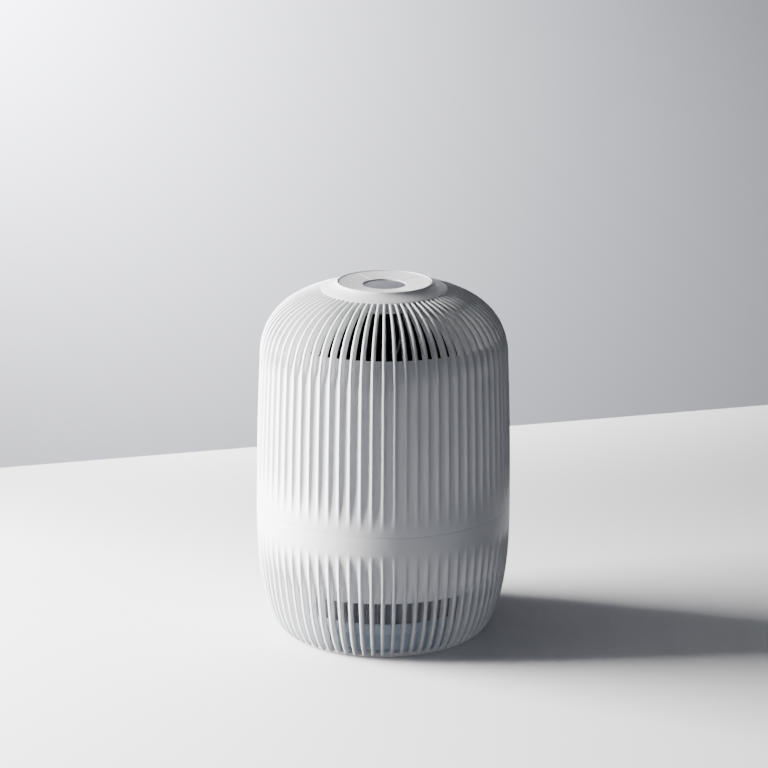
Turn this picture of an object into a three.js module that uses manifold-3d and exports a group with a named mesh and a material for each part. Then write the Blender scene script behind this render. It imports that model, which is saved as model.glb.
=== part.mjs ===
// Compact cylindrical room air purifier, standing on its base: +Z up, front towards -Y, millimetres.
// Air enters the slots round the foot, passes inwards through a ring filter, rises through a fan and
// leaves by the slots in the domed top. The upper housing turns and lifts off to change the filter.

import * as THREE from 'three';
import { mergeVertices } from 'three/addons/utils/BufferGeometryUtils.js';
import Module from 'manifold-3d';

// ---- Driving dimensions -------------------------------------------------------------------------

const GAP = 0.3;                      // air between pieces that touch
const QUARTER = Math.PI / 2;

// Body outline: a superellipse foot, a slightly tapering middle and a superellipse dome.
const BODY_RADIUS = 110;              // widest, at the belly
const BELLY_Z = 103.4;
const SHOULDER_RADIUS = 106.7;
const SHOULDER_Z = 240.4;
const FOOT_RADIUS = 82.1;
const FOOT_HEIGHT = 0.8;              // the rubber feet stand this far below the shell
const FOOT_POWER = 2.17;
const DOME_Z = 307.3;                 // where the dome would close
const DOME_WIDTH_POWER = 2.91;
const DOME_HEIGHT_POWER = 2.43;

// Ribs
const RIBS = 72;
const PITCH = (2 * Math.PI) / RIBS;
const RIB_CENTRES = Array.from({ length: RIBS }, (_, i) => (i + 0.5) * PITCH);

// Heights up the body
const SEAM_Z = 115.8;                 // joint between the lower and upper housings
const INLET_TOP_Z = 54.8;
const INLET_END_Z = 3.5;
const OUTLET_BOTTOM_Z = 267.1;
const HUB_OUTER_RADIUS = 60.5;          // the outlet slots end here
const HUB_INNER_RADIUS = 54.3;
const TOP_Z = 309.7;                  // rim of the control panel

// Rim where the two housings meet, and the ring that locks them
const RIM_BORE = 104;
const LOCK = { inner: 101, outer: 103.6, bottom: 110, top: 117.8 };
const LEDGE_BORE = { lower: 100.5, upper: 101.5 };
const UPPER_BORE = 100.7;             // inside of the upper wall at the shoulder

// Base
const RING_BORE = 72;                 // hole in the lower housing's floor
const RING_Z = [3.4, 6.0];
const PLATE_RECESS_RADIUS = 80.6;
const TRAY = { radius: 84, bottom: 6.3, top: 20.9, floor: 2.7, wall: 3.5 };
const FOOT = { radius: 7, ring: 66, top: 1.7 };
const BASE_SCREW_RING = 54;

// Filter
const FILTER = {
  radius: 85.7, bottom: 21.2, lip: 30.7, media: 84.1, pleat: 4.5, bore: 41, sleeve: 47,
  top: 128, cap: 3.7, floor: 2.4, gasket: [43, 52, 131.2],
};
const PLEATS = 36;

// Fan
const PLATE_Z = [131.6, 134];         // intake plate
const PLATE_RADIUS = 100.8;
const THROAT_RADIUS = 42;
const DUCT = { bore: 88, wall: 2.3, top: 246 };
const IMPELLER = { radius: 70, inlet: 46, bottom: 139.5, shroud: 147, top: 184, skin: 2, blades: 7 };
const SHAFT = { radius: 2.4, bottom: 160, top: 214 };
const SHAFT_BORE = SHAFT.radius + GAP;
const MOTOR_TUBE = { bore: 6, outer: 8.3, bottom: 190 };
const VANES = 5;

// Screws that hold the intake plate up to the upper housing, and the power inlet at the back
const BOSS_RING = 97.3;
const INLET = { z: 123.6, hole: 5.2, face: 101.2, depth: 9 };
const LEAD_RADIUS = 1.5;
const LEAD_Y = 95.3;

// Control panel
const RIM_RADIUS = 40.6;
const PANEL_BORE = 39.7;
const BUTTON = { inner: 18.4, outer: 39.1, innerZ: 307.1, outerZ: 309.3, skin: 1.8, ring: 28.8 };
const BUTTON_GAP = 0.5;
const BUTTON_NAMES = ['right', 'back', 'left', 'front'];
const LENS = { radius: 17.9, bottom: 304.5, top: 306.8 };
const PANEL_TRAY = { radius: 39.3, bottom: 301.5, top: 303.3 };
const BOARD = { radius: 34, bottom: 296.4, top: 298 };
const BOARD_SCREW_RING = 30;

const FINISH = {
  shell: { color: 0xe7e8ea, roughness: 0.55, metalness: 0 },
  panel: { color: 0xeceded, roughness: 0.5, metalness: 0 },
  lens: { color: 0x5d6066, roughness: 0.15, metalness: 0 },
  black: { color: 0x141517, roughness: 0.6, metalness: 0 },
  tray: { color: 0x8b98a6, roughness: 0.6, metalness: 0 },
  base: { color: 0xb9bcc0, roughness: 0.6, metalness: 0 },
  cap: { color: 0xa9b9c6, roughness: 0.6, metalness: 0 },
  media: { color: 0x6c6e72, roughness: 0.95, metalness: 0 },
  carbon: { color: 0x1b1b1c, roughness: 0.95, metalness: 0 },
  foam: { color: 0x3a3c3f, roughness: 0.9, metalness: 0 },
  ribbon: { color: 0x4a6076, roughness: 0.9, metalness: 0 },
  rubber: { color: 0x222324, roughness: 0.85, metalness: 0 },
  steel: { color: 0xb6b8bb, roughness: 0.3, metalness: 1 },
  lamination: { color: 0x77797c, roughness: 0.5, metalness: 1 },
  lockRing: { color: 0xdddfe0, roughness: 0.45, metalness: 0 },
  board: { color: 0x1f5c3a, roughness: 0.5, metalness: 0 },
  component: { color: 0x26282a, roughness: 0.5, metalness: 0 },
};

// ---- Solids -------------------------------------------------------------------------------------

const wasm = await Module();
wasm.setup();

/** A closed three.js geometry as a solid: welded, without empty faces, facing outwards. */
function solid(geometry) {
  geometry.deleteAttribute('normal');
  geometry.deleteAttribute('uv');
  const welded = mergeVertices(geometry);
  const xyz = welded.attributes.position.array;
  const corner = (i) => new THREE.Vector3().fromArray(xyz, 3 * i);
  const kept = [];
  let volume = 0;
  for (let i = 0; i < welded.index.count; i += 3) {
    const [a, b, c] = [0, 1, 2].map((k) => welded.index.getX(i + k));
    if (a === b || b === c || c === a) continue;
    kept.push(a, b, c);
    volume += corner(a).dot(corner(b).cross(corner(c)));
  }
  if (volume < 0) kept.reverse();
  return new wasm.Manifold(new wasm.Mesh({
    numProp: 3,
    vertProperties: Float32Array.from(xyz),
    triVerts: Uint32Array.from(kept),
  }));
}

/** A solid as a three.js geometry. */
function toGeometry(shape) {
  const mesh = shape.getMesh();
  const geometry = new THREE.BufferGeometry();
  geometry.setAttribute('position', new THREE.BufferAttribute(mesh.vertProperties, 3));
  geometry.setIndex(new THREE.BufferAttribute(mesh.triVerts, 1));
  geometry.computeVertexNormals();
  return geometry;
}

/** Adds a piece to a group as a named mesh, turned `turn` radians about Z. */
function add(group, name, shape, finish, turn = 0) {
  const mesh = new THREE.Mesh(toGeometry(shape), new THREE.MeshStandardMaterial(FINISH[finish]));
  mesh.name = name;
  mesh.rotation.z = turn;
  group.add(mesh);
}

const join = (first, ...rest) => rest.reduce((whole, part) => whole.add(part), first);
const cut = (first, ...rest) => rest.reduce((whole, part) => whole.subtract(part), first);

/** A solid turned from a closed [radius, height] outline about Z. */
function turned(outline, sides) {
  const points = [...outline, outline[0]].map(([r, z]) => new THREE.Vector2(r, z));
  return solid(new THREE.LatheGeometry(points, sides).rotateX(QUARTER));
}

/** A flat ring, or a disc where the bore is 0. */
const ring = (bore, radius, bottom, top, sides) => turned(
  [[bore, bottom], [radius, bottom], [radius, top], [bore, top]], sides);

/** A round bar along Z, centred on x, y. */
function bar(radius, bottom, top, sides, x = 0, y = 0) {
  const geometry = new THREE.CylinderGeometry(radius, radius, top - bottom, sides);
  return solid(geometry.rotateX(QUARTER).translate(x, y, (bottom + top) / 2));
}

/** A box given by its lowest and highest corners. */
function block([x0, y0, z0], [x1, y1, z1]) {
  const geometry = new THREE.BoxGeometry(x1 - x0, y1 - y0, z1 - z0);
  return solid(geometry.translate((x0 + x1) / 2, (y0 + y1) / 2, (z0 + z1) / 2));
}

/** A flat outline in X and Y, with optional holes, standing from bottom to top. */
function prism(outline, bottom, top, holes = []) {
  const vectors = (points) => points.map(([x, y]) => new THREE.Vector2(x, y));
  const shape = new THREE.Shape(vectors(outline));
  shape.holes = holes.map((hole) => new THREE.Path(vectors(hole)));
  const geometry = new THREE.ExtrudeGeometry(shape, { depth: top - bottom, bevelEnabled: false });
  return solid(geometry.translate(0, 0, bottom));
}

/** Points round a circle. */
const circle = (radius, count, start = 0) => Array.from({ length: count }, (_, i) => {
  const angle = start + (2 * Math.PI * i) / count;
  return [radius * Math.cos(angle), radius * Math.sin(angle)];
});

/** A round lead along a smooth curve through the given points. */
function lead(points, radius, steps) {
  const section = new THREE.Shape(circle(radius, 8).map(([x, y]) => new THREE.Vector2(x, y)));
  const path = new THREE.CatmullRomCurve3(points.map((p) => new THREE.Vector3(...p)));
  return solid(new THREE.ExtrudeGeometry(section, { steps, extrudePath: path, bevelEnabled: false }));
}

/** A pan-head screw with its head down, its shank rising from the seat at height z. */
const screw = (z, shank, head, thick, length) => turned(
  [[0, z - thick], [head * 0.8, z - thick], [head, z - thick * 0.6], [head, z], [shank, z],
    [shank, z + length], [0, z + length]], 8);

/** A shape moved outwards along X. */
const outwards = (shape, distance) => shape.translate([distance, 0, 0]);

/** Copies of a shape turned evenly about Z. */
const around = (shape, count, start = 0) => Array.from({ length: count }, (_, i) => (
  shape.rotate([0, 0, start + (360 * i) / count])));

// ---- Ribbed shells ------------------------------------------------------------------------------

/** Outer radius of the body at a height. */
function bodyRadius(z) {
  if (z < BELLY_Z) {
    const rise = 1 - (z - FOOT_HEIGHT) / (BELLY_Z - FOOT_HEIGHT);
    const cos = rise ** (FOOT_POWER / 2);
    return FOOT_RADIUS + (BODY_RADIUS - FOOT_RADIUS) * (1 - cos * cos) ** (1 / FOOT_POWER);
  }
  if (z < SHOULDER_Z) {
    const share = (z - BELLY_Z) / (SHOULDER_Z - BELLY_Z);
    return BODY_RADIUS + (SHOULDER_RADIUS - BODY_RADIUS) * share * share;
  }
  const sin = ((z - SHOULDER_Z) / (DOME_Z - SHOULDER_Z)) ** (DOME_HEIGHT_POWER / 2);
  return SHOULDER_RADIUS * (1 - sin * sin) ** (1 / DOME_WIDTH_POWER);
}

/** Height of the dome at a radius. */
function domeHeight(radius) {
  const cos = (radius / SHOULDER_RADIUS) ** (DOME_WIDTH_POWER / 2);
  return SHOULDER_Z + (DOME_Z - SHOULDER_Z) * (1 - cos * cos) ** (1 / DOME_HEIGHT_POWER);
}

/** A level of the shell: rib thickness, groove depth, full depth, and whether slots start here. */
function station(z, { rib, groove = 0, depth = 0, open = false, normal = null }) {
  const step = 0.05;
  const slope = (bodyRadius(z + step) - bodyRadius(z - step)) / (2 * step);
  const length = Math.hypot(1, slope);
  return {
    point: [bodyRadius(z), z], normal: normal ?? [1 / length, -slope / length],
    half: rib / 2, groove, depth, open,
  };
}

/** One closed mesh grown out of rings, each with one point a rib (plain) or one a rib edge. */
class RingMesh {
  points = [];

  faces = [];

  /** Adds a ring at [radius, height] and returns its point numbers. */
  ring([radius, height], angles = RIB_CENTRES) {
    const first = this.points.length / 3;
    angles.forEach((a) => this.points.push(radius * Math.cos(a), radius * Math.sin(a), height));
    return angles.map((_, i) => first + i);
  }

  /** The ring of a station's rib edges, sunk below its outer face by a depth. */
  edges({ point, normal, half }, sunk) {
    const radius = point[0] - normal[0] * sunk;
    const turn = Math.asin(half / radius);
    const angles = RIB_CENTRES.flatMap((centre) => [centre - turn, centre + turn]);
    return this.ring([radius, point[1] - normal[1] * sunk], angles);
  }

  /** Fills a polygon as a fan from its first corner; repeated corners drop out. */
  fill(...corners) {
    for (let i = 2; i < corners.length; i += 1) {
      const [a, b, c] = [corners[0], corners[i - 1], corners[i]];
      if (a !== b && b !== c && c !== a) this.faces.push(a, b, c);
    }
  }

  static low(points, rib) {
    return points[((rib % RIBS) * points.length) / RIBS];
  }

  static high(points, rib) {
    return points[((rib % RIBS) * points.length) / RIBS + points.length / RIBS - 1];
  }

  /** Skins the ribs between two rings. */
  ribs(from, to) {
    for (let i = 0; i < RIBS; i += 1) {
      this.fill(RingMesh.low(from, i), RingMesh.high(from, i), RingMesh.high(to, i), RingMesh.low(to, i));
    }
  }

  /** Skins the gaps between the ribs between two rings. */
  gaps(from, to) {
    for (let i = 0; i < RIBS; i += 1) {
      this.fill(RingMesh.high(from, i), RingMesh.low(from, i + 1), RingMesh.low(to, i + 1),
        RingMesh.high(to, i));
    }
  }

  /** Skins both sides of every rib with the polygon through the given rings. */
  flanks(...rings) {
    for (let i = 0; i < RIBS; i += 1) {
      this.fill(...rings.map((points) => RingMesh.high(points, i)));
      this.fill(...rings.map((points) => RingMesh.low(points, i)).reverse());
    }
  }

  /** Skins all the way round, along a chain of rings. */
  chain(...rings) {
    for (let i = 0; i + 1 < rings.length; i += 1) {
      this.ribs(rings[i], rings[i + 1]);
      this.gaps(rings[i], rings[i + 1]);
    }
  }

  solid() {
    const geometry = new THREE.BufferGeometry();
    geometry.setAttribute('position', new THREE.Float32BufferAttribute(this.points, 3));
    geometry.setIndex(this.faces);
    return solid(geometry);
  }
}

/**
 * A shell with ribs and slots. Its section is walked once round: `before` (plain rings), up the
 * outside through the stations, `after` (plain rings), back along the slots, and `tail` home.
 */
function ribbedShell({ before, stations, after, tail }) {
  const mesh = new RingMesh();
  const first = stations.findIndex((level) => level.open);
  const last = stations.findLastIndex((level) => level.open) + 1;
  const rows = stations.map((level, i) => {
    const crest = mesh.edges(level, 0);
    return {
      crest,
      floor: level.groove > 0 ? mesh.edges(level, level.groove) : crest,
      inner: i >= first && i <= last ? mesh.edges(level, level.depth) : null,
    };
  });
  for (let i = 0; i + 1 < rows.length; i += 1) {
    const [here, next] = [rows[i], rows[i + 1]];
    mesh.ribs(here.crest, next.crest);
    if (!stations[i].open) {
      mesh.gaps(here.floor, next.floor);
      mesh.flanks(here.crest, here.floor, next.floor, next.crest);
    } else {
      mesh.ribs(next.inner, here.inner);
      if (i === first) mesh.flanks(next.crest, here.crest, here.floor, here.inner, next.inner);
      else if (i + 1 === last) mesh.flanks(here.crest, here.inner, next.inner, next.floor, next.crest);
      else mesh.flanks(here.crest, here.inner, next.inner, next.crest);
    }
  }
  mesh.gaps(rows[first].floor, rows[first].inner);
  mesh.gaps(rows[last].inner, rows[last].floor);
  const end = rows[rows.length - 1];
  mesh.ribs(end.crest, end.floor);
  mesh.chain(end.floor, ...after.map((point) => mesh.ring(point)), rows[last].inner);
  const start = before.map((point) => mesh.ring(point));
  mesh.chain(rows[first].inner, ...tail.map((point) => mesh.ring(point)), ...start, rows[0].crest);
  return mesh.solid();
}

/** Lower housing: inlet slots from the foot up, then grooves that fade to a smooth band. */
function lowerShell() {
  const rimZ = SEAM_Z - GAP / 2;
  const [ringBottom, ringTop] = RING_Z;
  const ledgeZ = LOCK.bottom - GAP;
  return ribbedShell({
    before: [[RING_BORE, ringBottom], [PLATE_RECESS_RADIUS, ringBottom],
      [PLATE_RECESS_RADIUS, FOOT_HEIGHT], [FOOT_RADIUS, FOOT_HEIGHT]],
    stations: [
      station(INLET_END_Z, { rib: 3.4, depth: 2.7, open: true }),
      station(14, { rib: 3.4, depth: 5, open: true }),
      station(33, { rib: 3.4, depth: 5.3, open: true }),
      station(INLET_TOP_Z, { rib: 3.5, groove: 4.2, depth: 6.2 }),
      station(86, { rib: 3.8, groove: 3.2 }),
      station(99, { rib: 4 }),
    ],
    after: [[bodyRadius(rimZ), rimZ], [RIM_BORE, rimZ], [RIM_BORE, ledgeZ], [LEDGE_BORE.lower, ledgeZ]],
    tail: [[TRAY.radius, ringTop], [RING_BORE, ringTop]],
  });
}

/** Upper housing: smooth band, grooves, then the outlet slots over the dome to the hub. */
function upperShell() {
  const rimZ = SEAM_Z + GAP / 2;
  const ledgeZ = LOCK.top + GAP;
  const upright = [0, 1];
  const shell = ribbedShell({
    before: [[RIM_BORE, rimZ], [bodyRadius(rimZ), rimZ]],
    stations: [
      station(127, { rib: 4 }),
      station(146, { rib: 3.8, groove: 3.4 }),
      station(SHOULDER_Z, { rib: 3.6, groove: 3.6 }),
      station(OUTLET_BOTTOM_Z, { rib: 3.1, groove: 4.6, depth: 6.6, open: true }),
      station(282, { rib: 2.8, depth: 7, open: true }),
      station(293.5, { rib: 2.5, depth: 6.6, open: true }),
      station(domeHeight(HUB_OUTER_RADIUS), { rib: 2.3, groove: 4, depth: 5.6, normal: upright }),
      station(domeHeight(HUB_INNER_RADIUS), { rib: 2.2, groove: 4, normal: upright }),
    ],
    after: [[HUB_INNER_RADIUS, domeHeight(HUB_INNER_RADIUS) - 5.6]],
    tail: [[UPPER_BORE, SHOULDER_Z], [LEDGE_BORE.upper, ledgeZ], [RIM_BORE, ledgeZ]],
  });
  const boss = join(bar(3.8, PLATE_Z[1] + GAP, 150, 10, BOSS_RING), block(
    [BOSS_RING + 1, -2, PLATE_Z[1] + GAP], [RIM_BORE - 0.5, 2, 150]));
  const bored = cut(boss, bar(1.6, PLATE_Z[1], 146, 8, BOSS_RING));
  const hole = solid(new THREE.CylinderGeometry(INLET.hole, INLET.hole, 14, 16)
    .translate(0, BODY_RADIUS - 3, INLET.z));
  return cut(join(shell, ...around(bored, 4, 45)), hole);
}

// ---- Base ---------------------------------------------------------------------------------------

/** The fixed lower part: housing, bottom cover, feet and the tray that the filter stands in. */
function base() {
  const group = new THREE.Group();
  add(group, 'lower_shell', lowerShell(), 'shell');

  const plateTop = RING_Z[0] - GAP;
  const foot = bar(FOOT.radius, 0, FOOT.top, 12, FOOT.ring);
  const pocket = bar(FOOT.radius + GAP, 0, FOOT.top + GAP, 12, FOOT.ring);
  const headSeat = 2.2;
  const screwHole = join(bar(1.8, 0, 5, 8, BASE_SCREW_RING), bar(3.4, 0, headSeat, 8, BASE_SCREW_RING));
  add(group, 'base_plate', cut(ring(0, PLATE_RECESS_RADIUS - GAP, FOOT_HEIGHT, plateTop, 26),
    ...around(pocket, 4, 45), ...around(screwHole, 4)), 'base');

  const tray = turned([[0, TRAY.bottom], [TRAY.radius, TRAY.bottom], [TRAY.radius, TRAY.top],
    [TRAY.radius - TRAY.wall, TRAY.top], [TRAY.radius - TRAY.wall, TRAY.bottom + TRAY.floor],
    [0, TRAY.bottom + TRAY.floor]], 26);
  const boss = bar(4, TRAY.bottom + 1, 14, 8, BASE_SCREW_RING);
  const pilot = bar(1.6, TRAY.bottom - 1, 12, 8, BASE_SCREW_RING);
  add(group, 'filter_tray', cut(join(tray, ...around(boss, 4)), ...around(pilot, 4)), 'tray');

  const footing = outwards(screw(headSeat - GAP, 1.3, 2.8, 1, 9.3), BASE_SCREW_RING);
  for (let i = 0; i < 4; i += 1) {
    add(group, `foot_${i + 1}`, foot, 'rubber', QUARTER * (i + 0.5));
    add(group, `base_screw_${i + 1}`, footing, 'steel', QUARTER * i);
  }
  return group;
}

/** The slip ring that turns in the lower rim and keys into the upper one. */
function lockRing() {
  const group = new THREE.Group();
  add(group, 'lock_ring', ring(LOCK.inner, LOCK.outer, LOCK.bottom, LOCK.top, 30), 'lockRing');
  return group;
}

// ---- Filter -------------------------------------------------------------------------------------

/** The ring filter: pleats and carbon sleeve between two caps, with a gasket and a pull tab. */
function filter() {
  const group = new THREE.Group();
  const mediaBottom = FILTER.bottom + FILTER.floor + GAP;
  const mediaTop = FILTER.top - FILTER.cap - GAP;
  const cupBore = FILTER.radius - 1.2;
  add(group, 'filter_cap_lower', turned([[0, FILTER.bottom], [FILTER.radius, FILTER.bottom],
    [FILTER.radius, FILTER.lip], [cupBore, FILTER.lip], [cupBore, FILTER.bottom + FILTER.floor],
    [0, FILTER.bottom + FILTER.floor]], 36), 'cap');
  const pleats = circle(FILTER.media, 2 * PLEATS).map(([x, y], i) => {
    const scale = i % 2 ? (FILTER.media - FILTER.pleat) / FILTER.media : 1;
    return [x * scale, y * scale];
  });
  const mediaBore = circle(FILTER.sleeve + GAP, PLEATS).reverse();
  add(group, 'filter_media', prism(pleats, mediaBottom, mediaTop, [mediaBore]), 'media');
  add(group, 'carbon_sleeve', ring(FILTER.bore, FILTER.sleeve, mediaBottom, mediaTop, 24), 'carbon');
  add(group, 'filter_cap_upper',
    ring(FILTER.bore, FILTER.media + 0.9, FILTER.top - FILTER.cap, FILTER.top, 28), 'cap');
  const [gasketBore, gasketRadius, gasketTop] = FILTER.gasket;
  add(group, 'filter_gasket', ring(gasketBore, gasketRadius, FILTER.top + GAP, gasketTop, 20), 'foam');
  const ribbon = [[-7, -56], [-7, -78], [-4, -82], [4, -82], [7, -78], [7, -56]];
  add(group, 'pull_tab', prism(ribbon, FILTER.top + GAP, FILTER.top + GAP + 1), 'ribbon');
  return group;
}

// ---- Fan and motor ------------------------------------------------------------------------------

/** Plate below the fan, with the bellmouth that feeds it, screw holes and a way for the lead. */
function intakePlate() {
  const [bottom, top] = PLATE_Z;
  const plate = turned([[THROAT_RADIUS + 4.5, bottom], [PLATE_RADIUS, bottom], [PLATE_RADIUS, top],
    [THROAT_RADIUS + 6, top], [THROAT_RADIUS + 2.4, top + 3], [THROAT_RADIUS + 2, top + 9],
    [THROAT_RADIUS, top + 9], [THROAT_RADIUS + 0.6, top + 1]], 24);
  return cut(plate, ...around(bar(1.8, bottom - 1, top + 1, 8, BOSS_RING), 4, 45),
    bar(LEAD_RADIUS + 0.5, bottom - 1, top + 1, 8, 0, LEAD_Y));
}

/** Wheel-shaped guard in the bellmouth's throat. */
function fingerGuard() {
  const [bottom, top] = [PLATE_Z[1] + 0.5, PLATE_Z[1] + 2.5];
  const rings = [[THROAT_RADIUS - 1.9, THROAT_RADIUS - 0.4], [20, 21.5]];
  const spoke = block([3, -0.9, bottom + 0.2], [THROAT_RADIUS - 1, 0.9, top - 0.2]);
  return join(ring(0, 5, bottom, top, 12), ...rings.map(([bore, radius]) => (
    ring(bore, radius, bottom, top, 16))), ...around(spoke, 4));
}

/** Air duct round the impeller, flared at the top, with a notch for the lead. */
function fanDuct() {
  const bottom = PLATE_Z[1] + GAP;
  const outer = DUCT.bore + DUCT.wall;
  const duct = turned([[DUCT.bore, bottom], [93, bottom], [93, bottom + 2.3], [outer, bottom + 2.3],
    [outer, DUCT.top - 2], [96.2, DUCT.top + 4.5], [95, DUCT.top + 6], [DUCT.bore, DUCT.top]], 26);
  const notch = block([-2.2, LEAD_Y - 4.6, DUCT.top - 8], [2.2, 100, DUCT.top + 9]);
  return cut(duct, notch);
}

/** Bowl above the impeller: it holds the motor's bearing tube and the straightening vanes. */
function motorMount() {
  const ceiling = 222.6;
  const bowl = turned([[0, ceiling], [MOTOR_TUBE.bore, ceiling], [MOTOR_TUBE.bore, MOTOR_TUBE.bottom],
    [MOTOR_TUBE.outer, MOTOR_TUBE.bottom], [MOTOR_TUBE.outer, ceiling - 0.6], [29.5, 221.4],
    [50, 213.8], [61.8, 196.4], [61.8, 187], [64, 187], [64, 197], [52, 215.6], [30, 223.8],
    [0, 225]], 20);
  const blade = [[62.9, 188.5], [DUCT.bore - 1.5, 188.5], [DUCT.bore - 1.5, 212], [75, 212],
    [62.9, 197.5]];
  const flat = new THREE.Shape(blade.map(([r, z]) => new THREE.Vector2(r, z)));
  const vane = solid(new THREE.ExtrudeGeometry(flat, { depth: 2, bevelEnabled: false })
    .translate(0, 0, -1).rotateX(QUARTER));
  return join(bowl, ...around(vane, VANES));
}

/** Backward-curved centrifugal impeller. */
function impeller() {
  const { radius, inlet, bottom, shroud, top, skin, blades } = IMPELLER;
  const cover = turned([[inlet, bottom], [inlet + 1.6, bottom], [inlet + 1.6, shroud],
    [radius, shroud], [radius, shroud + skin], [inlet, shroud + skin]], 22);
  const back = turned([[SHAFT_BORE, 166], [8, 166], [8, top - skin], [radius, top - skin],
    [radius, top], [SHAFT_BORE, top]], 22);
  const curve = (offset) => Array.from({ length: 6 }, (_, i) => {
    const r = 41 + (i * (radius - 0.6 - 41)) / 5;
    const angle = -0.9 * ((r - 41) / (radius - 41)) + offset / r;
    return [r * Math.cos(angle), r * Math.sin(angle)];
  });
  const blade = prism([...curve(-0.8), ...curve(0.8).reverse()], shroud + 1, top - 1);
  return join(cover, back, ...around(blade, blades));
}

/** Stator core with its poles, round the bearing tube. */
function stator() {
  const poles = 9;
  const outline = Array.from({ length: poles }, (_, i) => {
    const centre = (2 * Math.PI * i) / poles;
    return [[12.5, -0.27], [18.5, -0.27], [18.5, 0.27], [12.5, 0.27]].map(([r, turn]) => (
      [r * Math.cos(centre + turn), r * Math.sin(centre + turn)]));
  }).flat();
  return prism(outline, 194, 208, [circle(MOTOR_TUBE.outer + GAP + 0.2, 12).reverse()]);
}

/** What spins: impeller, shaft, rotor cup and the nut that holds the impeller. */
function rotor() {
  const group = new THREE.Group();
  add(group, 'impeller', impeller(), 'black');
  add(group, 'motor_shaft', bar(SHAFT.radius, SHAFT.bottom, SHAFT.top, 12), 'steel');
  add(group, 'motor_rotor', turned([[SHAFT_BORE, 186], [23.5, 186], [23.5, 210], [21, 210],
    [21, 188.2], [SHAFT_BORE, 188.2]], 20), 'lamination');
  add(group, 'impeller_nut', prism(circle(5, 6), 161, 165.5, [circle(SHAFT_BORE, 12).reverse()]), 'steel');
  return group;
}

// ---- Upper housing ------------------------------------------------------------------------------

/** Power inlet: a moulded block with the round socket and its centre pin. */
function dcJack() {
  const { z, face, depth } = INLET;
  const along = (radius, from, to) => solid(new THREE.CylinderGeometry(radius, radius, to - from, 12)
    .translate(0, (from + to) / 2, z));
  const body = block([-6, face - depth, z - 5.3], [6, face, z + 5.3]);
  return join(cut(body, along(3.2, face - 7.5, face + 1)), along(1, face - 8, face - 1));
}

/** The collar round the control panel: rim, concave flare, skirt and the ledge for the tray. */
const controlBezel = () => turned([[58.5, 292.3], [58.5, 294.5], [54, 294.5],
  [54, domeHeight(HUB_INNER_RADIUS)], [47, 305.4], [41.6, 308.3], [RIM_RADIUS, TOP_Z],
  [PANEL_BORE, TOP_Z], [PANEL_BORE, 301.2], [36.5, 301.2], [36.5, 299], [42.2, 299], [42.2, 304.4],
  [51.6, 300.8], [51.6, 292.3]], 24);

/** One quarter of the dished button ring, with the stem that reaches its switch. */
function button() {
  const { inner, outer, innerZ, outerZ, skin } = BUTTON;
  const dish = turned([[inner, innerZ - skin], [outer, outerZ - skin], [outer, outerZ],
    [inner, innerZ]], 40);
  const tip = BUTTON_GAP / 2 / Math.sin(Math.PI / 4);
  const reach = 60;
  const wedge = prism([[tip, 0], [tip + reach, -reach], [tip + reach, reach]], 300, 312);
  const stem = bar(1.9, PANEL_TRAY.bottom + 0.2, 307, 8, BUTTON.ring);
  return join(dish.intersect(wedge), stem);
}

/** Control panel: collar, tray, board with its switches, lens, and the screws of the board. */
function controlPanel() {
  const group = new THREE.Group();
  add(group, 'control_bezel', controlBezel(), 'panel');
  const { radius, bottom, top } = PANEL_TRAY;
  const postTop = LENS.bottom - GAP;
  const tray = turned([[0, bottom], [radius, bottom], [radius, top], [17, top], [17, postTop],
    [0, postTop]], 24);
  const stemHole = bar(2.4, bottom - 1, postTop + 1, 8, BUTTON.ring);
  const pilot = (high) => bar(1.3, BOARD.bottom - 1, high, 8, BOARD_SCREW_RING);
  add(group, 'panel_tray', cut(tray, ...around(stemHole, 4), ...around(pilot(top - 0.6), 2, 45)), 'black');
  add(group, 'control_board', cut(ring(0, BOARD.radius, BOARD.bottom, BOARD.top, 24),
    ...around(pilot(BOARD.top + 1), 2, 45)), 'board');
  add(group, 'display_lens', turned([[0, LENS.bottom], [LENS.radius, LENS.bottom],
    [LENS.radius, LENS.top - 0.4], [LENS.radius - 0.4, LENS.top], [0, LENS.top]], 24), 'lens');
  const boardScrew = outwards(screw(BOARD.bottom - GAP, 1, 2, 1.5, 5.7), BOARD_SCREW_RING);
  [1, 5].forEach((eighth, i) => {
    add(group, `board_screw_${i + 1}`, boardScrew, 'steel', (eighth * QUARTER) / 2);
  });
  const tact = block([BUTTON.ring - 3, -3, BOARD.top + GAP], [BUTTON.ring + 3, 3, 300.9]);
  BUTTON_NAMES.forEach((side, i) => {
    add(group, `switch_${side}`, tact, 'component', QUARTER * i);
  });
  return group;
}

/** The four buttons, each free to be pressed. */
function buttons() {
  const group = new THREE.Group();
  const shape = button();
  BUTTON_NAMES.forEach((side, i) => add(group, `button_${side}`, shape, 'panel', QUARTER * i));
  return group;
}

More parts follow.
